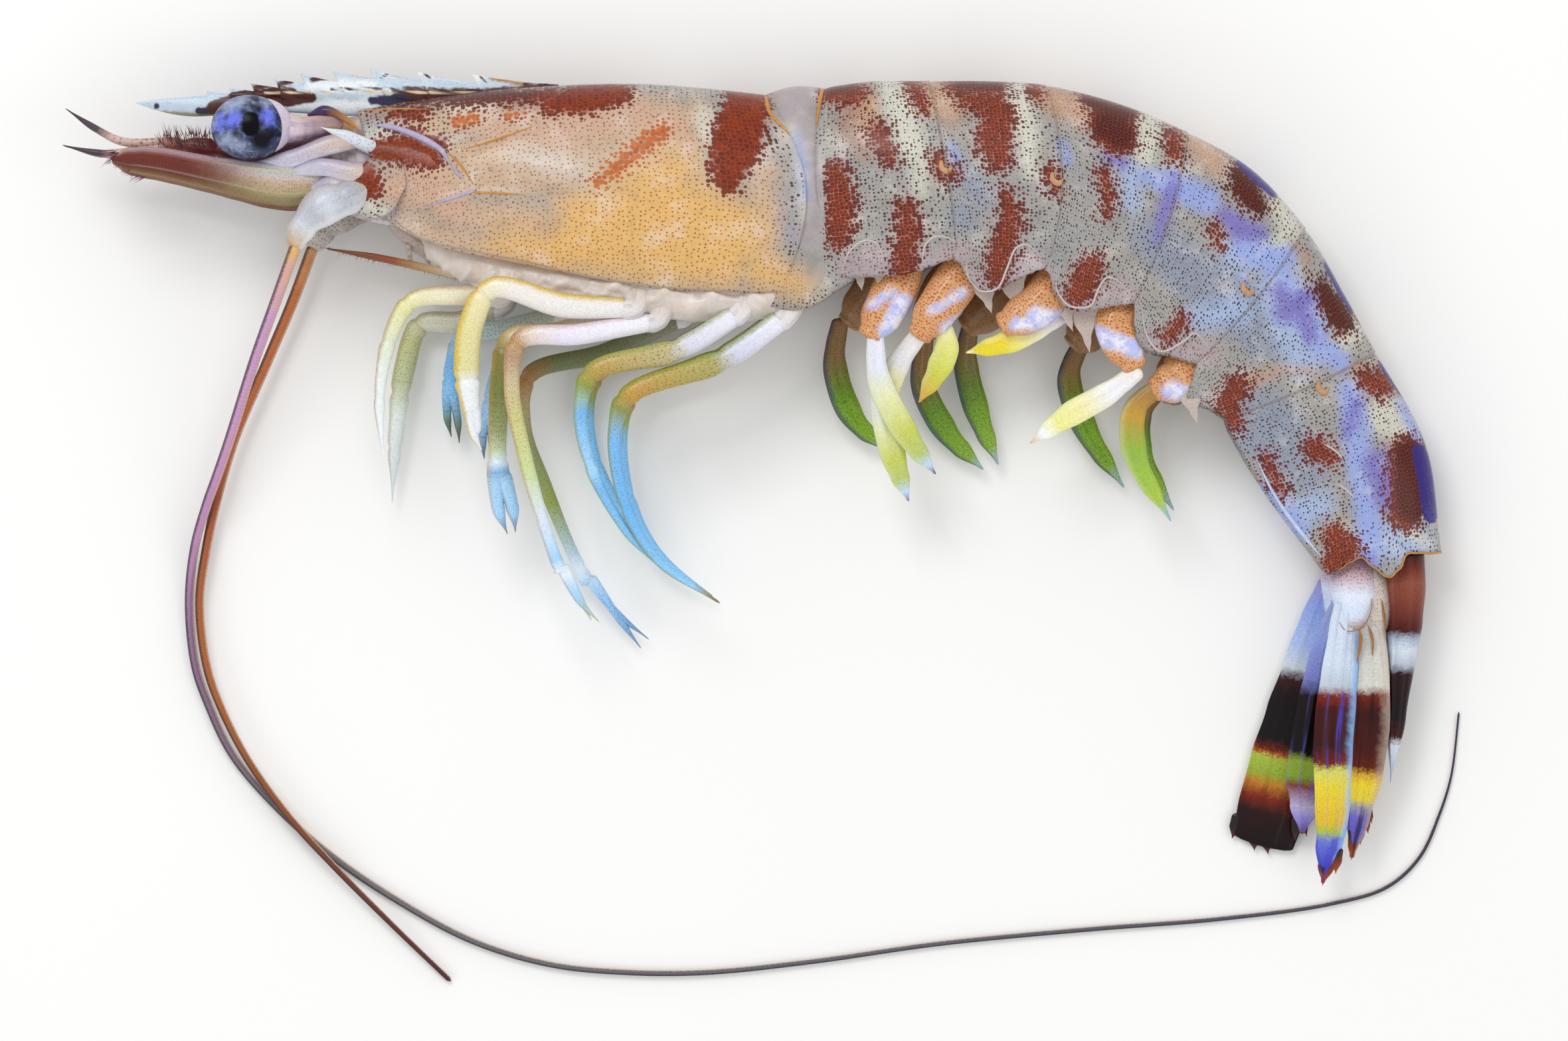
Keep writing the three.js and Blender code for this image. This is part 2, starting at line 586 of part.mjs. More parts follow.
// ---- Swimmerets: a stout root under each of the first five abdomen segments, with one or two blades ----
const SWIMMERETS = {
  swimmeret_1_left: {
    root: [[14.6, 27.4, 2.6], [12.6, 22.6, 3.2], [10.5, 18.8, 3.6]],
    blades: [
      [[11.2, 19.4, 3.6], [11.6, 14.8, 3.4], [14.4, 9.2, 3], [17.3, 5.2, 2.6]],
      [[11.2, 17.6, 3], [12, 11.4, 2.2], [13.2, 6.6, 1.8], [14.6, 2.5, 1.5]],
    ],
  },
  swimmeret_1_right: {
    root: [[13.4, 27, -2.6], [10.8, 23.2, -3], [8.4, 20.2, -3.3]],
    blades: [[[7.8, 21, -3.3], [7.2, 16.4, -3.6], [8.9, 11.2, -4], [12.4, 7.6, -4.6]]],
  },
  swimmeret_2_left: {
    root: [[21.2, 27.2, 2.8], [18, 22.6, 3.4], [15.4, 18.8, 3.7]],
    blades: [
      [[16.2, 20, 3.4], [13.6, 16.4, 1.6], [12.3, 13.6, 1.4], [11.2, 11.6, 1.3]],
      [[17.6, 21, 3.3], [18.4, 18.2, 3.1], [17.6, 15.8, 2.7], [15.6, 12.4, 2.1]],
    ],
  },
  swimmeret_2_right: {
    root: [[20, 26.6, -2.6], [17.6, 22.6, -3], [16.3, 19, -3.3]],
    blades: [[[16.4, 19.8, -3.3], [16, 14.6, -3.7], [18.4, 9.6, -4.2], [22.2, 5.7, -4.7]]],
  },
  swimmeret_3_left: {
    root: [[30.6, 26, 2.8], [27.4, 22, 3.6], [23.6, 20, 3.9]],
    blades: [[[30.4, 21.4, 2.6], [27.6, 20, 2.9], [24.4, 18.5, 2.8], [20.3, 17.4, 2.4]]],
  },
  swimmeret_3_right: {
    root: [[27.8, 26, -2.6], [23.4, 22.4, -3], [20.2, 19.8, -3.3]],
    blades: [[[20.9, 20.6, -3.3], [20.4, 16.6, -3.6], [21.6, 11.4, -4], [23.7, 6.2, -4.6]]],
  },
  swimmeret_4_left: {
    root: [[36.6, 23.6, 2.8], [35.4, 20, 3.8], [37.4, 15.6, 4.3]],
    blades: [[[37.8, 15.8, 4.3], [34.6, 13.4, 3.8], [30.4, 11, 3], [26.7, 8.3, 2.6]]],
  },
  swimmeret_4_right: {
    root: [[36, 23.4, -2.6], [33, 20, -3], [31, 18, -3.2]],
    blades: [[[32.2, 18.9, -3.2], [30.8, 15, -3.5], [32.6, 9.6, -3.9], [36.4, 3.9, -4.4]]],
  },
  swimmeret_5_left: {
    root: [[43, 18, 2.4], [41.8, 15, 3], [38.8, 13.6, 3.2]],
    blades: [[[40.2, 14.4, 3.2], [37.3, 11.8, 3], [37.3, 7.2, 2.6], [40.9, 0.5, 2.2]]],
  },
  swimmeret_5_right: {
    root: [[42.4, 17.6, -2.2], [41.4, 14.6, -2.6], [39.6, 13.2, -2.8]],
    blades: [[[40.2, 14.2, -2.8], [38, 11.4, -3.1], [38, 7.4, -3.4], [41.4, 1.6, -3.9]]],
  },
};
const SWIMMERET = {
  rootWide: [2, 2.3, 1.5],
  rootThick: [1.1, 1.3, 0.9],
  bladeWide: [1, 1.15, 1.3, FIN_POINT],
  bladeThick: [0.45, 0.4, 0.32, FIN_POINT],
};

function swimmeret({ root, blades }) {
  const stem = limb({
    points: aside(1, root),
    wide: SWIMMERET.rootWide,
    thick: SWIMMERET.rootThick,
    sides: 8,
    steps: 3,
  });
  const fins = blades.map((points) =>
    limb({
      points: aside(1, points),
      wide: SWIMMERET.bladeWide,
      thick: SWIMMERET.bladeThick,
      sides: 6,
      steps: 6,
    }),
  );
  return joined([stem, ...fins]);
}

for (const [name, spec] of Object.entries(SWIMMERETS)) {
  piece(name, swimmeret(spec), swimmeretFinish, [...abdomenGrown.slice(0, 5), neckGrown]);
}

// ---- Tail fan: a pointed middle blade and two side blades each side, folded together ----
const TAIL = {
  telson: {
    points: [[64.2, -2.6, 4.1], [64.4, -8, 4.1], [64, -15, 4.2], [63.1, -25.8, 4.3]],
    wide: [2.3, 2.2, 1.5, FIN_POINT],
    thick: [2.9, 2.5, 1.7, 0.12],
    turn: 0,
  },
  uropod_inner_left: {
    points: [[60.8, -7.6, 5.2], [61, -13, 5.3], [60.9, -20, 5.2], [60.2, -27, 4.7], [59.2, -33.4, 4.2]],
    wide: [1.2, 1.9, 2.2, 1.3, 0.3],
    thick: [0.7, 0.5, 0.4, 0.3, 0.12],
    turn: 0.25,
  },
  uropod_outer_left: {
    points: [[58.8, -8.4, 5.9], [58, -14, 5.8], [57.4, -21, 5.3], [57.3, -29, 4.6], [56.3, -36, 4]],
    wide: [1.2, 1.75, 2.1, 2, 0.3],
    thick: [0.8, 0.55, 0.45, 0.32, 0.12],
    turn: -0.2,
  },
  uropod_inner_right: {
    points: [[58.4, -7.4, 2.6], [57, -13, 2.5], [55.8, -20, 2.3], [54.8, -26, 2.2], [54.3, -31, 2.1]],
    wide: [1.1, 2, 2.5, 2, 1],
    thick: [0.6, 0.45, 0.36, 0.3, 0.12],
    turn: 0,
  },
  uropod_outer_right: {
    points: [[57.4, -5.6, 1.1], [55.3, -12, 0.8], [53.6, -19, 0.7], [52, -26, 0.65], [50.3, -32.3, 0.6]],
    wide: [1.4, 2.3, 3, 3.5, 3.1],
    thick: [0.6, 0.5, 0.4, 0.35, 0.3],
    turn: 0,
  },
};

const uropodKnobs = {
  left: { points: [[59, -2.4, 5], [59.4, -5.8, 5.5], [59.2, -10.6, 5.6]], wide: [2.2, 2.6, 1.3], thick: [1.3, 1.6, 0.9] },
  right: { points: [[58.4, -2.4, 2.2], [58.2, -5.4, 1.9], [57.6, -9.4, 1.8]], wide: [1.6, 2, 1.1], thick: [1, 1.1, 0.6] },
};

const tailTrunk = abdomenGrown.slice(4);
const telsonGrown = limb({ ...TAIL.telson, sides: 10, steps: 6, grow: SEAM });
piece("telson", limb({ ...TAIL.telson, sides: 10, steps: 6 }), tailFinish, tailTrunk);
for (const name of Object.keys(SIDES)) {
  const outer = TAIL[`uropod_outer_${name}`];
  const inner = TAIL[`uropod_inner_${name}`];
  const knob = uropodKnobs[name];
  const outerSolid = (grow) =>
    joined([limb({ ...outer, sides: 10, steps: 7, grow }), limb({ ...knob, sides: 8, steps: 4, grow })]);
  piece(`uropod_outer_${name}`, outerSolid(0), tailFinish, [...tailTrunk, telsonGrown]);
  const clear = [...tailTrunk, telsonGrown, outerSolid(SEAM)];
  piece(`uropod_inner_${name}`, limb({ ...inner, sides: 10, steps: 7 }), tailFinish, clear);
}

export default group;
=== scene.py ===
"""A raw kuruma prawn, whole, lying on its right side: the look of every piece, built on its frame.

Lengths in this script are millimetres until a piece is finished, +X runs to the tail, +Y to the back
of the trunk and +Z up out of the left side. Colour patches are laid out on a pattern sheet that has
15 units to the millimetre, with its corner above and in front of the head.
"""

import math
import random

import bmesh
import bpy
import numpy as np
from mathutils import Matrix, Vector
from mathutils.bvhtree import BVHTree


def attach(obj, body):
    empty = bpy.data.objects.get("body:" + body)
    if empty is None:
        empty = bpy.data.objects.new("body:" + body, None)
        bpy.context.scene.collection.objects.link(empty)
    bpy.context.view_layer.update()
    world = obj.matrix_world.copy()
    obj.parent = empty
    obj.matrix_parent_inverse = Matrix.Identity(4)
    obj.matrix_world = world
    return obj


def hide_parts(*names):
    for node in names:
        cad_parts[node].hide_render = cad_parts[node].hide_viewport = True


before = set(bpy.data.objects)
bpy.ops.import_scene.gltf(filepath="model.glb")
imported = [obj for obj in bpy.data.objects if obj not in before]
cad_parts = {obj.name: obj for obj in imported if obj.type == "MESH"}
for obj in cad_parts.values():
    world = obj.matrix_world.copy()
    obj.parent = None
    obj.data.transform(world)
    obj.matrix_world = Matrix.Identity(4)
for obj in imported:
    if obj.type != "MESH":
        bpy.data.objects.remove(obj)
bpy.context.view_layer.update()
MM = 0.001
SHEET = 15  # pattern units to a millimetre
SHEET_CORNER = (1149, 793)  # pattern units from the sheet's corner to the origin
TRUNK_MIDDLE = 7.35  # height of the trunk's middle plane over the board
HEAD_RISE, TAIL_FALL, TAIL_FROM = 0.022, 0.08, 28  # how that plane leans toward the head and the tail
SPREAD = 1.15  # what a limb's distance out from the middle plane is multiplied by
SIDES = (("left", 1), ("right", -1))


# ---- Curves and profiles ----
def path(points):
    """A smooth curve through points, as a function of t from 0 to 1."""
    knots = [Vector(p if len(p) == 3 else (*p, 0.0)) for p in points]
    knots = [2 * knots[0] - knots[1], *knots, 2 * knots[-1] - knots[-2]]
    last = len(points) - 2

    def at(t):
        reach = min(max(t, 0.0), 1.0) * (last + 1)
        i = min(int(reach), last)
        w = reach - i
        a, b, c, d = knots[i : i + 4]
        d0, d1, d2 = (max((q - p).length ** 0.5, 1e-4) for p, q in ((a, b), (b, c), (c, d)))
        m1 = ((b - a) / d0 - (c - a) / (d0 + d1) + (c - b) / d1) * d1
        m2 = ((c - b) / d1 - (d - b) / (d1 + d2) + (d - c) / d2) * d1
        return b + m1 * w + (3 * (c - b) - 2 * m1 - m2) * w * w + (2 * (b - c) + m1 + m2) * w**3

    return at


def heading(curve, t):
    """The direction a curve runs in."""
    return (curve(min(t + 0.004, 1)) - curve(max(t - 0.004, 0))).normalized()


def graded(values, smooth=False):
    """Evenly spaced values as a function of t from 0 to 1."""

    def at(t):
        reach = min(max(t, 0.0), 1.0) * (len(values) - 1)
        low = min(int(reach), len(values) - 2)
        w = reach - low
        if smooth:
            w = w * w * (3 - 2 * w)
        return values[low] + (values[low + 1] - values[low]) * w

    return at


def middle_at(x):
    """Height of the trunk's middle plane."""
    return TRUNK_MIDDLE + HEAD_RISE * max(-x, 0) - TAIL_FALL * max(x - TAIL_FROM, 0)


def aside(points, side=1):
    """Points given by their distance out from the middle plane."""
    return [(x, y, middle_at(x) + side * out * SPREAD) for x, y, out in points]


def off_sheet(x, y, z):
    """A place on the pattern sheet as a point in millimetres, at a height."""
    return (x - SHEET_CORNER[0]) / SHEET, (SHEET_CORNER[1] - y) / SHEET, z


def on_sheet(bm):
    """Where each vertex lies on the pattern sheet."""
    spots = np.array([v.co[:] for v in bm.verts])
    return np.stack((spots[:, 0] * SHEET + SHEET_CORNER[0], SHEET_CORNER[1] - spots[:, 1] * SHEET), 1)


# ---- Meshes ----
def loft(around, rows, place, scales=("along", "across")):
    """A grid rolled into a form: place(turn, row) gives x, y, z and a value for each scale."""
    bm = bmesh.new()
    layers = [bm.verts.layers.float.new(name) for name in scales]
    bmesh.ops.create_grid(bm, x_segments=around, y_segments=rows, size=0.5)
    for v in bm.verts:
        x, y, z, *values = place(v.co.x + 0.5, round((v.co.y + 0.5) * rows))
        v.co = (x, y, z)
        for layer, value in zip(layers, values):
            v[layer] = value
    bmesh.ops.remove_doubles(bm, verts=bm.verts, dist=1e-5)
    bmesh.ops.recalc_face_normals(bm, faces=bm.faces)
    return bm


CHORDS = 30  # straight pieces a limb's length is measured in


def limb(
    points, wide, thick=None, sides=20, steps=60, turn=0.0, pinch=(), ribs=(), square=1.0, span=(0, 1),
    grain=1.0, cap=0.7
):
    """A closed limb along a curve. `pinch` narrows it at (t, share, reach); `ribs` thicken it at
    (across, height, reach); `span` is the range of its colour scale, `cap` how round its ends are."""
    curve = path(points)
    wide_at = graded(wide, True)
    thick_at = graded(thick or wide, True)
    length = sum((curve(i / CHORDS) - curve((i + 1) / CHORDS)).length for i in range(CHORDS))
    girth = max(wide) * 0.9

    def place(u, row):
        t = min(max((row - 1) / (steps - 2), 0), 1)
        centre = curve(t)
        share = span[0] + t * (span[1] - span[0])
        if row in (0, steps):
            return *centre, share, 0, t * length * grain, 0
        ahead = heading(curve, t)
        side = Vector((ahead.y, -ahead.x, 0)).normalized()
        over = ahead.cross(side).normalized()
        spin = Matrix.Rotation(turn, 3, ahead)
        angle = 2 * math.pi * u
        s, c = math.sin(angle), math.cos(angle)
        size = 1 - sum(dip * math.exp(-(((t - at) / reach) ** 2)) for at, dip, reach in pinch)
        end = min(t, 1 - t) * length / max(cap * wide_at(t), 1e-3)
        if end < 1:
            size *= math.sqrt(1 - (1 - end) ** 2 * 0.97)
        rib = 1 + sum(high * math.exp(-(((s - at) / reach) ** 2)) for at, high, reach in ribs)
        out = math.copysign(abs(s) ** square, s) * wide_at(t) * size
        up = c * thick_at(t) * size * rib
        spot = centre + spin @ side * out + spin @ over * up
        way = angle if u < 0.5 else 2 * math.pi - angle
        return *spot, share, s, t * length * grain, way * girth * grain

    return loft(sides, steps, place, ("along", "across", "run", "round"))


def join(parts):
    """Several meshes as one."""
    whole = parts[0]
    for part in parts[1:]:
        mesh = bpy.data.meshes.new("part")
        part.to_mesh(mesh)
        part.free()
        whole.from_mesh(mesh)
        bpy.data.meshes.remove(mesh)
    return whole


def finish_piece(name, bm, material, nodes, fields=None):
    """A mesh in millimetres as a finished, named object on the body. Fields paint its vertices, and
    what would reach under the board is pressed flat on it."""
    if name in nodes:
        name += "_surface"
    for v in bm.verts:
        v.co.z = max(v.co.z, 0.0)
    mesh = bpy.data.meshes.new(name)
    if fields:
        bm.verts.ensure_lookup_table()
        places = on_sheet(bm)
        for field, strokes in fields.items():
            layer = bm.verts.layers.float.new(field)
            for v, value in zip(bm.verts, reach_into(places, strokes)):
                v[layer] = value
    bmesh.ops.scale(bm, vec=(MM, MM, MM), verts=bm.verts)
    for face in bm.faces:
        face.smooth = True
    bm.to_mesh(mesh)
    bm.free()
    mesh.materials.append(material)
    piece = bpy.data.objects.new(name, mesh)
    bpy.context.collection.objects.link(piece)
    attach(piece, "root")
    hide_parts(*nodes)
    return piece


FARTHEST_OUTSIDE = -4.0  # beyond this, how far outside a stroke no longer matters


def reach_into(spots, strokes):
    """How far, in millimetres, each spot lies inside the nearest stroke; negative outside."""
    best = np.full(len(spots), FARTHEST_OUTSIDE)
    for stroke in strokes:
        ends = stroke if len(stroke) > 1 else stroke * 2
        for (ax, ay, ar), (bx, by, br) in zip(ends, ends[1:]):
            a, d = np.array((ax, ay)), np.array((bx - ax, by - ay))
            t = np.clip(((spots - a) @ d) / max(float(d @ d), 1e-9), 0, 1)
            gap = np.linalg.norm(spots - a - t[:, None] * d, axis=1)
            best = np.maximum(best, (ar + (br - ar) * t - gap) / SHEET)
    return best


def emboss(bm, lines):
    """Raises (or sinks) the skin along lines on the pattern sheet: (points, height, reach)."""
    bm.normal_update()
    places = on_sheet(bm)
    rise = np.zeros(len(places))
    for points, height, reach in lines:
        gap = -reach_into(places, [[(x, y, 0) for x, y in points]])
        rise += height * np.exp(-((gap / reach) ** 2))
    moved = [v.co + v.normal * up for v, up in zip(bm.verts, rise)]
    for v, co in zip(bm.verts, moved):
        v.co = co


DROP_HEIGHT = 40  # clear of every skin on both sides


def draped(skins, points, lift=0.0, side=1):
    """Sheet points dropped onto the outermost of some skins, as points in millimetres."""
    found = []
    for x, y in points:
        spot = Vector(off_sheet(x, y, DROP_HEIGHT * side))
        hits = [skin.ray_cast(spot, Vector((0, 0, -side)))[0] for skin in skins]
        hits = [hit for hit in hits if hit is not None]
        if hits:
            hit = max(hits, key=lambda spot: side * spot.z)
            found.append((hit.x, hit.y, hit.z + lift * side))
    return found


def ridge(skins, points, radius, lift=0.0, steps=28, sides=8):
    """A fine raised line on some skins, on both flanks, through points on the pattern sheet."""
    flat = path([(x, y) for x, y in points])
    fine = [flat(i / steps)[:2] for i in range(steps + 1)]
    lines = []
    for side in (1, -1):
        spots = draped(skins, fine, lift, side)
        if len(spots) > 3:
            lines.append(limb(spots, radius, sides=sides, steps=len(spots) + 6))
    return join(lines)


HAIR_JITTER, HAIR_TIP = 0.3, 0.15  # how much a hair strays, and its tip's share of its foot


def bristles(roots, seed, foot):
    """Fine hairs: each root is (place, reach), a point and the vector out to the hair's tip."""
    rng = random.Random(seed)
    bm = bmesh.new()
    for spot, reach in roots:
        out = Vector(reach)
        out += Vector(rng.uniform(-HAIR_JITTER, HAIR_JITTER) * out.length for _ in range(3))
        turn = out.to_track_quat("Z", "Y").to_matrix().to_4x4()
        place = Matrix.Translation(Vector(spot) + out / 2) @ turn
        size = {"radius1": foot, "radius2": foot * HAIR_TIP, "depth": out.length}
        bmesh.ops.create_cone(bm, cap_ends=True, segments=4, matrix=place, **size)
    return bm


# ---- Finishes ----
def rgb(code):
    """A colour code as linear light."""
    parts = [int(code[i : i + 2], 16) / 255 for i in (0, 2, 4)]
    return (*[c / 12.92 if c < 0.04045 else ((c + 0.055) / 1.055) ** 2.4 for c in parts], 1)


GLOW_REACH, GLOW_SCALE = (1.0, 0.6, 0.4), 0.0012  # how far red, green and blue carry, in metres
COAT_ROUGH = 0.16


class Finish:
    """A wet shell finish, built up step by step in millimetres."""

    def __init__(self, name):
        self.material = bpy.data.materials.new(name)
        self.material.use_nodes = True
        self.nodes = self.material.node_tree.nodes
        self.nodes.clear()
        place = self.put("ShaderNodeTexCoord").outputs["Object"]
        self.place = self.put("ShaderNodeMapping", {"Vector": place, "Scale": (1000, 1000, 1000)}).outputs[0]

    def put(self, kind, inputs=None, **settings):
        node = self.nodes.new(kind)
        for key, value in settings.items():
            setattr(node, key, value)
        for key, value in (inputs or {}).items():
            if isinstance(value, bpy.types.NodeSocket):
                self.material.node_tree.links.new(value, node.inputs[key])
            else:
                node.inputs[key].default_value = value
        return node

    def number(self, name):
        """A value carried by the piece's own vertices."""
        return self.put("ShaderNodeAttribute", attribute_name=name).outputs["Fac"]

    def noise(self, scale, detail=2.0, place=None):
        inputs = {"Vector": place or self.place, "Scale": scale, "Detail": detail, "Roughness": 0.6}
        return self.put("ShaderNodeTexNoise", inputs).outputs[0]

    def sum(self, kind, a, b=0.0, c=0.0):
        return self.put("ShaderNodeMath", {0: a, 1: b, 2: c}, operation=kind).outputs[0]

    def wobble(self, value, noise, amount):
        """The value, shifted up and down by a noise."""
        return self.sum("MULTIPLY_ADD", self.sum("SUBTRACT", noise, 0.5), amount, value)

    def step(self, value, low, high, to=1.0):
        """A smooth step, from 0 at low up to `to` at high."""
        inputs = {"Value": value, "From Min": low, "From Max": high, "To Max": to}
        return self.put("ShaderNodeMapRange", inputs, interpolation_type="SMOOTHSTEP").outputs[0]

    def field(self, name, noise, amount, low, high, to=1.0):
        """How much of a painted field is here, with its edge broken up by a noise."""
        return self.step(self.wobble(self.number(name), noise, amount), low, high, to)

    def darkness(self, tone, light, dark):
        """How dark a colour is, from 0 where it is light to 1 where it is dark."""
        return self.step(self.put("ShaderNodeRGBToBW", {"Color": tone}).outputs[0], light, dark)

    def mix(self, share, a, b):
        tones = {key: rgb(v) if isinstance(v, str) else v for key, v in ((6, a), (7, b))}
        return self.put("ShaderNodeMix", {0: share, **tones}, data_type="RGBA").outputs[2]

    def ramp(self, value, stops):
        """Colours along a value, from a table of places and colour codes."""
        node = self.put("ShaderNodeValToRGB", {"Fac": value})
        line = node.color_ramp.elements
        while len(line) < len(stops):
            line.new(0.5)
        for element, (spot, code) in zip(line, stops.items()):
            element.position = spot
            element.color = rgb(code)
        return node.outputs[0]

    def skin(self):
        """Place on a piece's own skin: the way along it and the way round it."""
        return self.put("ShaderNodeCombineXYZ", {0: self.number("run"), 1: self.number("round")}).outputs[0]

    def spots(self, share, scale, size):
        """A mask of round specks in a loose grid on the skin; share scales it."""
        inputs = {"Vector": self.skin(), "Scale": scale, "Randomness": 0.75}
        speck = self.put("ShaderNodeTexVoronoi", inputs, voronoi_dimensions="2D")
        chance = self.put("ShaderNodeSeparateColor", {"Color": speck.outputs["Color"]}).outputs[0]
        reach = self.sum("MULTIPLY_ADD", chance, size * 0.8, size * 0.6)
        dot = self.step(self.sum("SUBTRACT", reach, speck.outputs["Distance"]), -0.06, 0.06)
        return self.sum("MULTIPLY", dot, share)

    def shade(self, tone, noise, amount):
        """The colour, made lighter and darker by a noise."""
        value = self.sum("MULTIPLY_ADD", noise, amount, 1 - amount / 2)
        return self.put("ShaderNodeHueSaturation", {"Color": tone, "Value": value}).outputs[0]

    def done(self, tone, rough=0.36, relief=None, depth=0.05, glow=0.08, coat=0.3, shine=0.22):
        """The finished material: colour, roughness, fine relief, inner glow and wet coat."""
        look = {"Base Color": tone, "Roughness": rough, "Specular IOR Level": shine}
        look |= {"Subsurface Weight": glow, "Subsurface Radius": GLOW_REACH, "Subsurface Scale": GLOW_SCALE}
        look |= {"Coat Weight": coat, "Coat Roughness": COAT_ROUGH}
        shader = self.put("ShaderNodeBsdfPrincipled", look)
        if relief is not None:
            bump = self.put("ShaderNodeBump", {"Height": relief, "Strength": 0.5, "Distance": depth * MM})
            self.material.node_tree.links.new(bump.outputs[0], shader.inputs["Normal"])
        self.put("ShaderNodeOutputMaterial", {"Surface": shader.outputs[0]})
        return self.material


def shell_finish():
    """Grey translucent shell, specked all over; in its red-brown bands the specks swell and merge."""
    f = Finish("shell")
    broad = f.noise(0.13, 2)
    wide = f.noise(0.35, 3)
    grain = f.noise(1.2, 3)
    fine = f.noise(4.5, 2)
    tone = f.mix(wide, "7f7b79", "a59e94")
    tone = f.mix(f.step(broad, 0.4, 0.65, 0.5), tone, "8a8a8d")

    # The whitish field in this list (d6cbc0 and bfb4aa) is a painted highlight on the head shield's bulges
    # and on the neck dome.
    soft = [
        ("slate", 1.5, "6c7488", "8690a6"), ("ice", 1.5, "8aa2d0", "9fb2d4"),
        ("brown", 1.5, "9c7460", "84583f"), ("beige", 2.0, "c8aa88", "b49474"),
        ("pink", 1.6, "c6a286", "b48a6e"), ("ochre", 2.9, "e6b65c", "cf962c"),
        ("lilac", 1.4, "ac9da0", "8f838b"), ("painted_highlight", 1.8, "d6cbc0", "bfb4aa")
    ]
    for name, reach, light, dim in soft:
        share = f.field(name, wide, 1.6, -reach, reach * 0.85, 0.92)
        tone = f.mix(share, tone, f.mix(grain, light, dim))
    warm = f.sum("MAXIMUM", f.step(f.number("ochre"), -1.5, 0.5), f.step(f.number("pink"), -1.5, 0.5))
    warm = f.sum("MAXIMUM", warm, f.step(f.number("beige"), -2.0, 1.0))
    firm = [
        ("tan", 1.0, "b98c66", "a37858"), ("cream", 1.1, "d2cebd", "bebdaf"),
        ("blue", 0.8, "9db2e4", "6478cc"), ("violet", 0.8, "7468c4", "44369a")
    ]
    for name, reach, light, dim in firm:
        mottle, amount = (grain, 1.5) if name in ("tan", "cream") else (fine, 3.2)
        share = f.field(name, mottle, amount, -reach, reach, 0.92)
        tone = f.mix(share, tone, f.mix(fine, light, dim))
    # Painted light: pale flecks by the fine noise (e6e6e4) and pale patches by the wide noise (e2dcd8) are
    # painted highlights and painted reflection haze for a wet look; the dark patches (5c5254) by the wide
    # noise are painted shade.
    tone = f.mix(f.sum("MULTIPLY", fine, 0.2), tone, "e6e6e4")
    tone = f.mix(f.step(wide, 0.52, 0.72, 0.3), tone, "e2dcd8")
    tone = f.mix(f.step(wide, 0.46, 0.28, 0.14), tone, "5c5254")

    # Round specks on a loose grid. In the bands they grow until only a pale net is left between.
    grid = {"Vector": f.skin(), "Scale": 1.0, "Randomness": 0.7}
    flat = {"voronoi_dimensions": "2D"}
    speck = f.put("ShaderNodeTexVoronoi", grid, **flat)
    edge = f.put("ShaderNodeTexVoronoi", grid, **flat, feature="DISTANCE_TO_EDGE").outputs[0]
    chance = f.put("ShaderNodeSeparateColor", {"Color": speck.outputs["Color"]}).outputs[0]
    dark = f.wobble(f.number("dark"), grain, 0.9)
    loose = f.wobble(dark, chance, 0.8)
    deep = f.step(f.number("deep"), -0.8, 0.8)
    rust = f.step(f.number("rust"), -0.8, 0.8)
    firm_edge = f.sum("MAXIMUM", deep, rust)
    cool = f.step(f.sum("MAXIMUM", f.number("blue"), f.number("violet")), -0.6, 0.4)

    size = f.sum("ADD", f.step(chance, 0.15, 0.95, 0.21), 0.09)
    even = f.sum("SUBTRACT", f.sum("MULTIPLY_ADD", chance, 0.05, 0.155), size)
    size = f.sum("MULTIPLY_ADD", warm, even, size)
    gentle = f.step(loose, -1.8, 0.9, 0.56)
    swell = f.sum("SUBTRACT", f.step(loose, -1.3, 0.4, 0.58), gentle)
    size = f.sum("ADD", size, f.sum("MULTIPLY_ADD", firm_edge, swell, gentle))
    size = f.sum("SUBTRACT", size, f.step(f.number("plain"), -0.3, 0.6, 0.4))
    size = f.sum("MULTIPLY_ADD", cool, -0.05, size)
    blot = f.step(f.sum("SUBTRACT", size, speck.outputs["Distance"]), -0.05, 0.06)

    dot = f.mix(f.step(f.number("lilac"), -0.8, 0.4), f.mix(cool, "2a2529", "2e2c64"), "8a4a3c")
    dot = f.mix(warm, dot, f.mix(chance, "a85a20", "8a4f26"))
    red = f.mix(deep, f.mix(chance, "7e1f04", "581204"), "430a06")
    red = f.mix(rust, red, f.mix(chance, "822b08", "631b06"))
    red = f.mix(f.field("orange", grain, 0.8, -0.4, 0.4), red, f.mix(chance, "ac4a18", "bd6a2c"))
    dot = f.mix(f.step(dark, -2.2, -0.7), dot, red)

    band = f.mix(deep, f.mix(rust, "8c4228", "783014"), "5c1e10")
    share = f.sum("MULTIPLY", f.step(dark, -0.8, 0.5), f.sum("MULTIPLY_ADD", firm_edge, 0.22, 0.7))
    tone = f.mix(share, tone, band)
    calm = f.sum("MULTIPLY", warm, f.step(dark, -0.6, -1.6))
    tone = f.mix(f.sum("MULTIPLY", blot, f.sum("MULTIPLY_ADD", calm, -0.12, 0.94)), tone, dot)
    net = f.sum("MULTIPLY", f.step(edge, 0.11, 0.03), f.step(dark, -0.3, 0.3))
    net_tone = f.mix(deep, f.mix(rust, "a87050", "a04e24"), "8a4630")
    tone = f.mix(f.sum("MULTIPLY", net, 0.5), tone, net_tone)
    tone = f.mix(f.field("navy", grain, 0.3, -0.15, 0.15, 0.92), tone, "2c2278")
    return f.done(
        tone, f.step(fine, 0.0, 1.0, 0.65), f.sum("MULTIPLY_ADD", fine, 0.6, grain), 0.05, 0.04, 0.28, 0.12
    )


def skin_finish(name, pale, warm, specks="8a6a60", amount=0.5, glow=0.25):
    """Soft skin between the shells."""
    f = Finish(name)
    grain = f.noise(0.9, 3)
    fine = f.noise(4.0, 2)
    tone = f.mix(grain, pale, warm)
    tone = f.mix(f.sum("MULTIPLY", fine, 0.3), tone, "f2eee8")
    tone = f.mix(f.spots(amount, 2.6, 0.2), tone, specks)
    return f.done(tone, 0.34, grain, 0.12, glow)


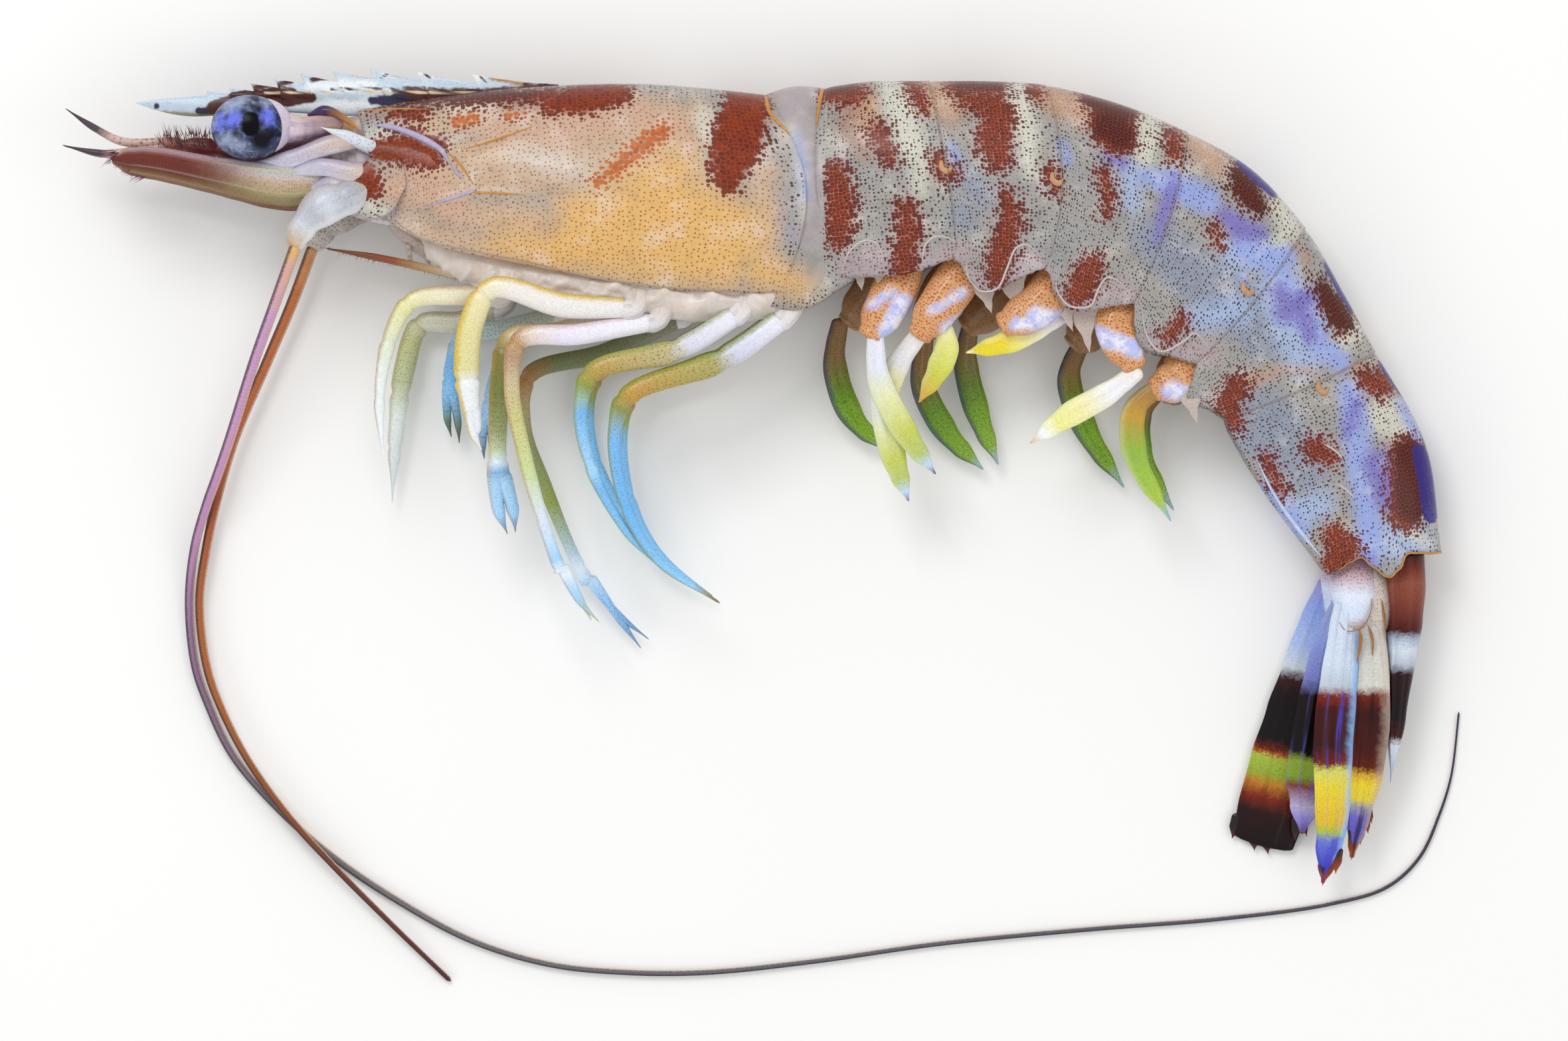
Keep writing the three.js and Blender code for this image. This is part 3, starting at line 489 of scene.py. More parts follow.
def banded_finish(
    name, stops, specks=("5a2a1c", 0.4, 2.8, 0.22), edge=None, other_edge=None, streaks=None,
    dark_only=False, wobble=0.05, rough=0.38, glow=0.08, coat=0.3, shine=0.22
):
    """A limb's finish: colours along it, specks, tinted edges and lengthwise streaks."""
    f = Finish(name)
    grain = f.noise(1.1, 3)
    fine = f.noise(5.0, 2)
    along = f.wobble(f.wobble(f.number("along"), grain, wobble), fine, wobble * 0.7)
    across = f.number("across")
    tone = f.ramp(along, stops)
    tone = f.shade(tone, fine, 0.5)
    if streaks:
        code, amount, count = streaks
        lane = f.put(
            "ShaderNodeCombineXYZ", {0: f.sum("MULTIPLY", along, 1.5), 1: f.sum("MULTIPLY", across, count)}
        )
        lines = f.step(f.noise(1.0, 3, lane.outputs[0]), 0.5, 0.62)
        if dark_only:
            lines = f.sum("MULTIPLY", lines, f.sum("MULTIPLY_ADD", f.darkness(tone, 0.4, 0.12), 0.8, 0.2))
        tone = f.mix(f.sum("MULTIPLY", lines, amount), tone, code)
    for tint, low, high in ((edge, 0.35, 0.95), (other_edge, -0.35, -0.95)):
        if tint:
            rim = f.step(f.wobble(across, grain, 0.5), low, high)
            tone = f.mix(f.sum("MULTIPLY", rim, tint[1]), tone, tint[0])
    if specks:
        code, amount, scale, size = specks
        share = f.sum("MULTIPLY", f.darkness(tone, 0.75, 0.4), f.spots(amount, scale, size))
        tone = f.mix(share, tone, code)
    return f.done(tone, rough, f.sum("MULTIPLY_ADD", fine, 0.5, grain), 0.04, glow, coat, shine)


def plain_finish(name, dark, light, rough=0.35):
    """Two tones, clouded into each other."""
    f = Finish(name)
    tone = f.mix(f.noise(2.2, 3), dark, light)
    return f.done(tone, rough, f.noise(5.0), 0.02)


SHELL = shell_finish()
CHEST = skin_finish("chest skin", "e2dfe1", "bfa68c", amount=0.08)
RIM = plain_finish("amber rim", "a8662a", "d39a4c")
HOOK = plain_finish("hinge hook", "a06c44", "d4ac84")
PALE_RIM = plain_finish("pale rim", "b5a9a8", "cfc5c0")
FOLD = banded_finish(
    "clear fold",
    {0: "c9c6d6", 0.4: "b9b4c4", 0.7: "c9b6ac", 1: "c8a894"},
    ("9a5a40", 0.3, 2.6, 0.16), ("dfe2ee", 0.7), ("8a7a9c", 0.5), ("8e7f9e", 0.35, 1.5), 0.1
)
BROW = banded_finish("brow", {0: "4a3468", 0.4: "33204a", 0.6: "8a5a3c", 1: "c08a48"}, None)
DULL_RIM = plain_finish("dull rim", "8c7f7a", "b5a493")
LILAC_RIM = plain_finish("lilac rim", "9089b4", "c4b8cc")
EYE_RIM = plain_finish("eye rim", "b3a3c0", "ddd2da")

# ---- Colour patches: strokes of (column, row, radius) on the pattern sheet ----
PATCHES = {
    "dark": [
        # head shield
        [(548, 147, 6), (640, 146, 6), (705, 147, 9), (760, 146, 5), (840, 145, 6)],
        [(600, 173, 7), (636, 172, 6)],
        [(576, 230, 12), (612, 226, 17), (648, 238, 15)],
        [(622, 203, 4), (662, 220, 5)],
        [(556, 262, 11), (560, 285, 11)],
        [(832, 158, 10), (880, 150, 20), (935, 142, 10)],
        [(690, 186, 1), (714, 180, 0)],
        [(768, 177, -3), (790, 173, -4)],
        [(1000, 200, 3), (965, 226, 4), (932, 254, 2), (900, 278, -2)],
        [(1124, 142, 22), (1120, 175, 28), (1110, 215, 33), (1100, 248, 25), (1096, 275, 13)],
        # first to third segments
        [(1250, 141, 14), (1285, 141, 12)],
        [(1322, 200, 8), (1338, 240, 6)],
        [(1258, 262, 11), (1265, 300, 16), (1264, 345, 15), (1259, 370, 6)],
        [(1362, 316, 8), (1368, 345, 11), (1361, 385, 13), (1361, 412, 13)],
        [(1372, 128, 6), (1388, 165, 4)],
        [(1411, 240, 3), (1418, 266, 4), (1434, 262, 3)],
        [(1440, 130, 11), (1500, 131, 12)],
        [(1455, 150, 8), (1490, 160, 20), (1502, 180, 20), (1495, 212, 22), (1502, 242, 12)],
        [(1514, 300, 6), (1521, 335, 10), (1510, 370, 13), (1504, 395, 13), (1500, 420, 10)],
        [(1556, 130, 4), (1558, 145, 3)],
        [(1578, 262, 3), (1588, 288, 3)],
        [(1648, 148, 16), (1692, 162, 20), (1672, 185, 30), (1680, 205, 26)],
        [(1658, 268, 4), (1668, 298, 3), (1662, 325, 1)],
        [(1642, 402, 12), (1630, 425, 16), (1618, 448, 12)],
        [(1764, 208, 7), (1766, 236, 6)],
        # fourth to sixth segments
        [(1864, 262, 9), (1872, 284, 17), (1890, 308, 11)],
        [(1828, 350, 2), (1832, 372, 0)],
        [(1754, 508, 4), (1776, 486, 7)],
        [(1990, 434, 8), (2004, 460, 13), (2022, 486, 12)],
        [(1864, 582, 9), (1846, 606, 11), (1856, 636, 9)],
        [(1905, 692, 3), (1927, 742, 4)],
        [(2060, 573, 11), (2082, 578, 15)],
        [(1980, 676, 13), (2000, 690, 9)],
        [(2118, 685, 24), (2122, 740, 26), (2116, 775, 20)],
        [(2008, 806, 13), (2026, 828, 18), (2008, 848, 14)],
    ],
    "deep": [
        [(548, 152, 16), (600, 152, 14), (700, 147, 12), (800, 142, 8), (900, 136, 8)],
        [(1650, 150, 20), (1690, 165, 22), (1680, 185, 18)],
        [(1245, 135, 9), (1285, 131, 6)],
        [(1445, 127, 10), (1500, 127, 10)],
        [(2015, 480, 14), (2035, 492, 16)],
        [(2124, 690, 30), (2128, 760, 28)],
        [(1868, 275, 26), (1892, 310, 22)],
        [(1990, 430, 20), (2020, 480, 22)],
        [(1668, 190, 26), (1684, 205, 24)],
    ],
    "cream": [
        [(1345, 122, 24), (1352, 160, 24), (1366, 200, 22), (1380, 245, 16), (1386, 290, 8)],
        [(1528, 122, 20), (1535, 170, 19), (1545, 215, 16), (1548, 262, 8)],
        [(1735, 162, 22), (1728, 200, 20), (1722, 240, 14)],
        [(1925, 308, 16), (1943, 345, 15), (1925, 368, 12)],
        [(2058, 486, 14), (2030, 507, 15), (2006, 532, 12)],
        [(2078, 628, 26), (2118, 640, 26)],
        [(2120, 800, 8), (2145, 815, 8)],
        [(690, 166, 12), (735, 160, 10)],
        [(1058, 178, 12), (1066, 205, 12)],
        [(1192, 196, 4), (1204, 235, 6), (1210, 290, 5), (1210, 330, 2)],
        [(560, 312, 12), (580, 322, 8)],
        [(500, 200, 6), (525, 222, 8), (560, 210, 10), (600, 190, 6)],
    ],
    "blue": [
        [(1722, 268, 10), (1760, 278, 22), (1815, 305, 20)],
        [(1870, 372, 18), (1905, 392, 20), (1935, 385, 12)],
        [(1920, 415, 18), (1960, 460, 26), (1985, 520, 18), (2015, 545, 16)],
        [(2030, 590, 18), (2040, 640, 22), (2045, 700, 20), (2060, 780, 20), (2060, 840, 14)],
        [(1432, 226, 5), (1438, 240, 4)],
        [(1199, 205, 3), (1210, 250, 4), (1213, 300, 3)],
        [(1598, 222, 6), (1604, 244, 5)],
        [(1868, 420, 4)],
        # This stroke is a painted highlight: the white-blue highlight strip along the belly side of the sixth
        # segment.
        [(1910, 740, 10), (1955, 800, 12)],
        [(2112, 610, 8), (2136, 660, 10)],
    ],
    "violet": [
        [(1664, 240, 7), (1686, 248, 9)],
        [(1766, 272, 6), (1758, 300, 12), (1746, 335, 10), (1738, 368, 4)],
        [(1842, 326, 12), (1866, 346, 19), (1894, 352, 12)],
        [(1920, 440, 12), (1962, 480, 16), (1970, 505, 12)],
        [(2040, 610, 10), (2028, 650, 8)],
        [(2075, 700, 24), (2092, 745, 26)],
        [(1935, 470, 20), (1965, 450, 16)],
        [(2060, 845, 8)],
    ],
    "navy": [
        [(1436, 234, 1), (1440, 252, 1)],
        [(1606, 250, 1), (1600, 262, 1)],
        [(1886, 446, 1), (1890, 436, 1)],
        [(1866, 246, 6), (1889, 266, 8), (1916, 293, 6)],
        [(2000, 400, 8), (2019, 433, 9), (2037, 465, 6)],
        [(2084, 548, 7), (2100, 570, 9), (2113, 591, 6)],
        [(2138, 680, 12), (2151, 735, 15), (2155, 775, 13)],
    ],
    "orange": [
        [(690, 184, 12), (716, 180, 10)],
        [(768, 177, 9), (792, 173, 8)],
        [(1000, 198, 26), (965, 226, 26), (932, 256, 24), (905, 276, 22)],
        [(1218, 160, 3), (1222, 185, 4)],
        [(1415, 250, 4)],
    ],
    "ochre": [
        [(760, 368, 16), (830, 380, 30), (900, 356, 62), (1000, 345, 86), (1075, 365, 72)],
        [(920, 310, 20), (965, 285, 26), (1015, 262, 24)],
        [(1140, 410, 24), (1200, 430, 14)],
    ],
    "beige": [
        [(700, 255, 40), (800, 240, 60), (900, 225, 60), (1000, 205, 50)],
        [(640, 190, 20), (740, 190, 24)],
        [(620, 345, 20), (700, 365, 26), (760, 390, 20), (840, 410, 16)],
        [(1040, 180, 24), (1050, 225, 20), (1010, 200, 20)],
        [(860, 260, 34), (930, 240, 30), (1040, 250, 26)],
        [(1150, 260, 20), (1155, 320, 22), (1150, 390, 20)],
        [(850, 305, 22), (890, 315, 20)],
        [(680, 322, 24), (800, 335, 26)],
    ],
    "pink": [
        [(600, 285, 26), (650, 285, 38), (690, 320, 18)],
        [(700, 170, 16), (760, 200, 24), (850, 200, 26), (960, 170, 22), (1040, 200, 20)],
        [(1405, 140, 16), (1430, 175, 14)],
        [(1585, 150, 14), (1625, 170, 18)],
        [(1800, 215, 14), (1830, 250, 12)],
        [(1000, 320, 20)],
    ],
    "brown": [
        [(540, 165, 14), (640, 160, 10), (740, 152, 8), (860, 160, 18), (940, 152, 16)],
        [(600, 205, 10), (660, 225, 10)],
        [(1300, 140, 22), (1285, 190, 26), (1300, 230, 14)],
        [(1420, 140, 20), (1440, 165, 14)],
        [(1560, 140, 16), (1620, 150, 18)],
        [(1140, 150, 24), (1120, 220, 24)],
        [(1820, 230, 16)],
    ],
    "slate": [
        [(1165, 290, 14), (1185, 360, 14)],
        [(1730, 360, 30), (1800, 420, 40), (1860, 460, 40), (1900, 500, 40)],
        [(1900, 640, 50), (1960, 700, 40)],
        [(1480, 300, 16), (1440, 260, 14)],
        [(1450, 330, 20)],
    ],
    "ice": [
        [(1960, 770, 26), (1985, 760, 20)],
        [(2070, 815, 26), (2130, 815, 24)],
        [(1860, 385, 22), (1930, 390, 20)],
        [(1910, 440, 20), (1960, 540, 26)],
        [(1800, 480, 18), (1860, 470, 22)],
        [(1700, 260, 14), (1700, 310, 10)],
    ],
    "lilac": [
        [(1198, 150, 26), (1200, 180, 22), (1208, 220, 14), (1225, 280, 12), (1215, 360, 14)],
        [(1280, 405, 16), (1325, 395, 20), (1290, 415, 12)],
        [(1396, 395, 16), (1440, 388, 20)],
        [(1470, 435, 12), (1500, 440, 10), (1548, 396, 18), (1570, 420, 16)],
        [(1600, 455, 12), (1630, 470, 14), (1680, 440, 18), (1700, 455, 12)],
        [(1735, 515, 12), (1780, 530, 14), (1815, 530, 18)],
        [(1300, 420, 10), (1460, 420, 12), (1560, 440, 12)],
    ],
    # Painted highlights: whitish patches along a bulge of the head shield and on the neck dome.
    "painted_highlight": [[(780, 236, 10), (825, 246, 16), (880, 262, 12)], [(1180, 210, 8), (1150, 240, 8)]],
    "rust": [
        [(1124, 142, 30), (1110, 215, 42), (1092, 285, 34)],
        [(832, 158, 22), (880, 165, 34), (935, 142, 16)],
        [(556, 262, 22), (560, 290, 22)],
        [(576, 230, 22), (650, 236, 24)],
    ],
    "plain": [[(1198, 150, 34), (1200, 180, 30), (1208, 220, 20), (1225, 260, 16), (1225, 420, 16)]],
    "tan": [
        [(1393, 128, 9), (1400, 165, 6)],
        [(1578, 135, 8), (1588, 172, 6)],
        [(1768, 188, 9), (1779, 212, 7)],
        [(1952, 372, 7), (1965, 392, 7)],
        [(2030, 560, 6), (2045, 552, 6)],
        [(1310, 160, 16), (1300, 200, 14)],
        [(1880, 572, 7), (1930, 557, 6), (1980, 562, 4)],
    ],
}

# ---- Trunk ----
WIDEST, ARCH_SHARE, HEM_SHARE = 0.4, 0.5, 0.75
SHELL_AROUND = 176
PATTERN_SHIFT = 1.37  # starts each shell's specks at another place of the pattern


def section(share, drop):
    """Half a shell's section: height as a share of its depth, reach as a share of its half width."""
    if share <= ARCH_SHARE:
        a = share / ARCH_SHARE * math.pi / 2
        return WIDEST + (1 - WIDEST) * math.cos(a), math.sin(a) ** 0.85
    if share <= HEM_SHARE + 1e-6:
        k = (share - ARCH_SHARE) / (HEM_SHARE - ARCH_SHARE)
        return WIDEST - (WIDEST + drop) * k, 1 - 0.18 * k * k
    k = (share - HEM_SHARE) / (1 - HEM_SHARE)
    return -drop * (1 - k) ** 3, 0.82 * (1 - k)


def shell(
    back, belly, half_width, middle, steps, drop=lambda t: 0, shift=lambda t, h: 0, span=(0, 1), tuck=0.9,
    lip=0.0, around=SHELL_AROUND, grain=2.75
):
    """A closed trunk shell, tucked in at the front and with a turned lip at the rear. Its two scales
    run lengthwise and round the flank, in specks of the shell's pattern."""
    rows = [(span[0], 0), (span[0], tuck)]
    rows += [(span[0] + (span[1] - span[0]) * i / steps, None) for i in range(steps + 1)]
    rows += [(span[1] + 0.004, 0.985), (span[1], 0.95), (span[1] - 0.03, 0.9), (span[1] - 0.04, 0)]
    mid_line = [(back(i / 20) + belly(i / 20)) / 2 for i in range(21)]
    length = sum((b - a).length for a, b in zip(mid_line, mid_line[1:]))
    girths = {}

    def girth(share, t, depth):
        """The way round a section from the back to a share of it, in millimetres."""
        if t not in girths:
            spots = [section(k / 40, drop(t) / depth) for k in range(41)]
            spots = [(high * depth, reach * half_width(t)) for high, reach in spots]
            steps_round = [math.dist(a, b) for a, b in zip(spots, spots[1:])]
            girths[t] = graded([sum(steps_round[:k]) for k in range(41)])
        return girths[t](share)

    def place(u, row):
        t, size = rows[row]
        if size is None:
            ease = min(max((t - span[0]) / 0.12, 0), 1)
            size = tuck + (1 - tuck) * ease * (2 - ease)
            size += lip * max(0, (t - span[1]) / 0.18 + 1) ** 2
        top, low = back(t), belly(t)
        depth = (top - low).length
        up = (top - low) / depth
        angle = (u - 0.5) * 2 * math.pi
        high, reach = section(abs(angle) / math.pi, drop(t) / depth)
        high = WIDEST + (high - WIDEST) * size
        spot = low + up * high * depth + Vector((up.y, -up.x, 0)) * shift(t, high)
        side = math.copysign(reach * half_width(t) * size, angle)
        way = math.copysign(girth(abs(angle) / math.pi, t, depth), angle)
        return spot.x, spot.y, max(middle(t) + side, 0.0), (
            t * length + PATTERN_SHIFT * back(0).x
        ) * grain, way * grain

    return loft(around, len(rows) - 1, place, ("run", "round"))


def make_carapace():
    """The head shield, its embossed furrows and its gold and lilac ridges."""
    back = path(
        [(-40.6, 41.7), (-34, 42.9), (-27, 43.8), (-19.5, 44.3), (-12, 44.4), (-5, 43.9), (0.4, 43.3)]
    )
    belly = path(
        [(-37.6, 30.8), (-32.4, 28.4), (-25.5, 27), (-18.5, 25.6), (-11.5, 24.4), (-4.5, 23.9), (2.1, 23.9)]
    )

    def shift(t, high):
        return 3 * t**5 * math.sin(math.pi * min(max(high, 0), 1))

    half_width = graded([4.8, 6.1, 6.9, 7.4, 7.6, 7.6, 7.3])
    bm = shell(
        back, belly, half_width, lambda t: middle_at(back(t).x), 130, lambda t: 0.5, shift, tuck=0.97,
        grain=2.05
    )
    emboss(
        bm,
        [
            ([(560, 200), (618, 208), (662, 228), (680, 252), (700, 272)], -0.28, 0.7),
            ([(690, 232), (806, 192)], 0.3, 0.45),
            ([(636, 315), (716, 293), (793, 297)], 0.25, 0.45),
            ([(540, 169), (650, 166)], 0.2, 0.4), ([(672, 230), (716, 280)], 0.22, 0.45),
            ([(590, 270), (602, 300), (600, 330)], 0.25, 0.5),
            ([(733, 303), (802, 353)], 0.12, 0.5),
            ([(1096, 294), (1132, 367), (1109, 431)], 0.1, 0.7),
            ([(760, 250), (860, 262)], 0.18, 1.6), ([(840, 215), (920, 190)], -0.15, 1.8)
        ]
    )
    tree = BVHTree.FromBMesh(bm)
    finish_piece("carapace", bm, SHELL, ["carapace"], PATCHES)
    gold = [
        ridge([tree], [(700, 228), (750, 213), (806, 193)], [0.05, 0.13, 0.05]),
        ridge([tree], [(716, 293), (750, 294), (795, 297)], [0.12, 0.12, 0.04]),
        ridge([tree], [(543, 169), (590, 166), (650, 167)], [0.06, 0.1, 0.04]),
        ridge(
            [tree],
            [(1153, 146), (1159, 172), (1184, 200), (1200, 222), (1206, 238)],
            [0.2, 0.22, 0.18, 0.04]
        ),
        ridge([tree], [(674, 230), (695, 250), (716, 281)], [0.06, 0.12, 0.06])
    ]
    finish_piece("carapace_gold_ridges", join(gold), RIM, ["carapace"])
    lilac = [
        ridge(
            [tree],
            [(566, 190), (600, 196), (640, 212), (668, 230), (680, 250)],
            [0.12, 0.3, 0.36, 0.3, 0.1]
        ),
        ridge(
            [tree],
            [(548, 240), (575, 252), (594, 275), (598, 300), (593, 330)],
            [0.12, 0.22, 0.34, 0.3, 0.1]
        ),
        ridge([tree], [(646, 312), (680, 302), (718, 290)], [0.04, 0.16, 0.12]),
        ridge([tree], [(683, 250), (690, 262), (700, 272)], [0.1, 0.2, 0.08])
    ]
    finish_piece("carapace_lilac_ridges", join(lilac), LILAC_RIM, ["carapace"])
    hem = ridge(
        [tree],
        [(598, 336), (640, 362), (720, 381), (800, 397), (895, 420), (1000, 434), (1110, 441)],
        [0.06, 0.08, 0.06]
    )
    finish_piece("carapace_hem", hem, DULL_RIM, ["carapace"])


BACK_LINE = path(
    [(5.8, 44), (11.1, 44.7), (16.6, 44.7), (22.4, 44.7), (28.2, 44.3), (36.1, 42.3), (42.5, 39.6),
     (49, 35.9), (54.4, 30), (58.4, 23.3), (61.5, 17.6), (66.6, 8.3), (68.2, -2.5)]
)
BELLY_LINE = path(
    [(6.5, 25.6), (12.5, 26.8), (19.4, 27), (23.8, 26.9), (28.4, 26), (32.6, 24.8), (37.2, 22.8),
     (40.5, 20), (43.6, 16.6), (45.1, 13.8), (46.5, 10.9), (51.4, 3.1), (56.7, -4.7)]
)
SEGMENTS = 6
SEGMENT_HALF_WIDTH = graded([7.1, 7.4, 7.5, 7.1, 6.2, 5.3, 4.2])
SEGMENT_MIDDLE = graded([7.1, 7.25, 7.35, 6.95, 6.1, 5.2, 4.15])
JOINT_BOW = [-1.2, 0.3, 1.5, 0.8, 0.6, 0.5, 0.0]  # how far each joint bows back at mid height
REAR_LOBES = graded([0.1, -0.2, -0.7, -1.0, 0.4, 1.6, 1.0, -0.5, -0.3, 0.0, 0.1], True)
FLAP_DROP = [
    [0.5, 1.0, 1.3, 1.5, 1.7, 1.8, 1.8, 1.5, 1.0, 0.5, 0.1],
    [0.6, 2.4, 3.4, 3.7, 3.5, 3.0, 2.4, 1.8, 1.2, 0.6, 0.1],
    [0.6, 2.4, 3.4, 3.6, 3.6, 3.4, 3.0, 2.4, 1.8, 1.2, 0.5],
    [0.6, 2.4, 3.3, 3.6, 3.4, 3.0, 2.5, 2.0, 1.5, 1.0, 0.4],
    [0.4, 1.4, 2.3, 2.9, 2.9, 2.6, 2.1, 1.5, 1.0, 0.6, 0.2],
    [0.2, 0.4, 0.5, 0.6, 0.6, 0.6, 0.5, 0.4, 0.3, 0.2, 0.1]
]
FLAP_ARCS = [
    [
        [(1268, 405), (1276, 385), (1290, 370), (1305, 364), (1320, 370), (1332, 400)],
        [(1387, 405), (1392, 372), (1406, 359), (1430, 362), (1450, 380)]
    ],
    [
        [(1453, 395), (1458, 425), (1476, 440), (1500, 436), (1515, 405), (1528, 376), (1545, 371),
         (1570, 395)]
    ],
    [
        [(1588, 410), (1590, 440), (1608, 462), (1640, 462), (1650, 440), (1664, 420), (1680, 424),
         (1704, 452)]
    ],
    [[(1717, 465), (1724, 505), (1745, 530), (1780, 515), (1796, 503), (1812, 518), (1826, 548)]],
    [],
    [[(1990, 668), (2010, 680), (2021, 693)], [(2012, 728), (2026, 738), (2040, 752)]]
]


def make_abdomen():
    """The six rings, with their flap lines, the belly fold ridge coloured as a painted highlight, hinge hooks
    and fine edges.
    """
    trees = []
    for i in range(SEGMENTS):

        def along(t, i=i):
            return (i + t) / SEGMENTS

        def shift(t, high, i=i):
            bend = math.sin(math.pi * min(max(high, 0), 1)) ** 0.8
            way = bend * (JOINT_BOW[i] * (1 - t) ** 2 + JOINT_BOW[i + 1] * max(t, 0) ** 2)
            return way + (REAR_LOBES(high) * max(t, 0) ** 5 if i == 5 else 0)

        bm = shell(
            lambda t, f=along: BACK_LINE(f(t)), lambda t, f=along: BELLY_LINE(f(t)),
            lambda t, f=along: SEGMENT_HALF_WIDTH(f(t)) * 0.995, lambda t, f=along: SEGMENT_MIDDLE(f(t)),
            38, graded(FLAP_DROP[i], True), shift, span=(-0.03 if i else 0.02, 1.0), tuck=0.982, lip=0.004
        )
        emboss(bm, [(arc, 0.14, 0.3) for arc in FLAP_ARCS[i]])
        tree = BVHTree.FromBMesh(bm)
        trees.append(tree)
        node = f"abdomen_{i + 1}"
        finish_piece(node, bm, SHELL, [node], PATCHES)
        if FLAP_ARCS[i]:
            lines = [ridge([tree], arc, [0.03, 0.11, 0.12, 0.11, 0.03]) for arc in FLAP_ARCS[i]]
            finish_piece(f"{node}_flap_lines", join(lines), PALE_RIM, [node])
    # The ridge along the sixth ring's belly edge is coloured pale blue-white as a painted highlight strip.
    fold = ridge(
        trees[5:],
        [(1890, 690), (1915, 740), (1938, 775), (1962, 806), (1990, 840)],
        [0.04, 0.16, 0.2, 0.22, 0.06]
    )
    finish_piece(
        "abdomen_6_highlight_fold", fold, plain_finish("belly fold painted highlight", "8ea2cc", "d8e2f2"), ["abdomen_6"]
    )
    knobs = [(1424, 250, 0), (1590, 268, 1), (1877, 432, 3), (1991, 580, 4)]
    for k, (column, row, segment) in enumerate(knobs):
        hook = [(column - 8, row - 6), (column - 7, row + 6), (column + 1, row + 11), (column + 9, row + 4)]
        line = ridge(trees, hook, [0.18, 0.3, 0.34, 0.1], 0.02, 16, 12)
        finish_piece(f"hinge_hook_{k + 1}", line, HOOK, [f"abdomen_{segment + 1}"])
    for joint in range(SEGMENTS + 1):
        edge = join([joint_edge(joint, side) for side in (1, -1)])
        finish = RIM if joint in (0, 6) else DULL_RIM
        finish_piece(f"joint_edge_{joint}", edge, finish, [f"abdomen_{max(joint, 1)}"])


def joint_edge(joint, side):
    """The fine raised edge of a trunk ring, down one flank."""
    t = max(joint, 0.02) / SEGMENTS
    top, low = BACK_LINE(t), BELLY_LINE(t)
    depth = (top - low).length
    up = (top - low) / depth
    size = 0.985 if joint == 0 else 1.003
    points = []
    down = HEM_SHARE * (0.38 if joint == 0 else 0.93)
    for k in range(25):
        high, reach = section(k / 24 * down, 0)
        high = WIDEST + (high - WIDEST) * size
        bow = math.sin(math.pi * min(max(high, 0), 1)) ** 0.8 * JOINT_BOW[joint]
        bow += REAR_LOBES(high) if joint == 6 else 0
        spot = low + up * high * depth + Vector((up.y, -up.x, 0)) * (bow + 0.02)
        points.append(
            (spot.x, spot.y, max(SEGMENT_MIDDLE(t) + side * reach * SEGMENT_HALF_WIDTH(t) * size, 0.1))
        )
    radius = {
        0: [0.14, 0.24, 0.22, 0.14, 0.03], 6: [0.1, 0.1, 0.08, 0.05]
    }.get(joint, [0.05, 0.045, 0.03, 0.02])
    return limb(points, radius, sides=8, steps=60)


def make_skins():
    """The bare skin behind the head shield, and the folded skin under it."""
    back = path([(-2, 42.4), (3.2, 44.2), (8, 43.6)])
    belly = path([(-2, 23), (3.4, 21.6), (9, 24.6)])
    bm = shell(back, belly, graded([6.7, 7, 6.5], True), lambda t: TRUNK_MIDDLE - 0.1, 26, around=96)
    finish_piece("neck_skin", bm, SHELL, ["neck_skin"], PATCHES)

    back2 = path([(-35, 31), (-28, 29), (-20, 27.5), (-10, 26), (1, 26)])
    belly2 = path([(-33.6, 26.6), (-28, 23.6), (-19, 22), (-8, 20.7), (2.6, 21)])
    bm = shell(
        back2, belly2, graded([3, 4.2, 5.4, 5.8, 5.4]), lambda t: middle_at(back2(t).x), 150, around=144
    )
    folds = [([(700 + 85 * k, 470), (760 + 85 * k, 428)], 0.5, 0.9) for k in range(6)]
    folds += [
        ([(650 + 37 * k, 452 - 9 * (k % 3)), (672 + 37 * k, 404 + 4 * k)], 0.32, 0.32) for k in range(14)
    ]
    folds += [([(640 + 61 * k, 424 + 2 * k), (690 + 61 * k, 436 + 2 * k)], -0.25, 0.3) for k in range(8)]
    emboss(bm, folds)
    finish_piece("thorax_floor", bm, CHEST, ["thorax_floor"])


# ---- Rostrum ----
TEETH = 8
TOOTH_TIPS = [-55.8]
for tooth in range(TEETH):
    TOOTH_TIPS.append(TOOTH_TIPS[-1] + 2.4 + 0.06 * tooth**2)
TIP_LINE = graded([43.67, 44.5, 45.5, 46.05, 45.4])
NOTCH = graded([0.5, 0.95, 1.2, 1.0])
ROSTRUM_FROM, ROSTRUM_TO = -62.9, -20.5


def rostrum_top(x):
    """Height of the saw edge: each tooth rises from a notch to its tip."""
    if x < TOOTH_TIPS[0]:
        w = (x - ROSTRUM_FROM) / (TOOTH_TIPS[0] - ROSTRUM_FROM)
        return 42.5 + 0.75 * w**0.7
    k = max(i for i, tip in enumerate(TOOTH_TIPS) if x >= tip)
    start = TIP_LINE(k / TEETH)
    if k == TEETH:
        w = min((x - TOOTH_TIPS[k]) / (ROSTRUM_TO - TOOTH_TIPS[k]), 1)
        return start + (44.35 - start) * w**0.7
    w = (x - TOOTH_TIPS[k]) / (TOOTH_TIPS[k + 1] - TOOTH_TIPS[k])
    stop = TIP_LINE((k + 1) / TEETH) - NOTCH((k + 1) / TEETH)
    return start + (stop - start) * w**0.75


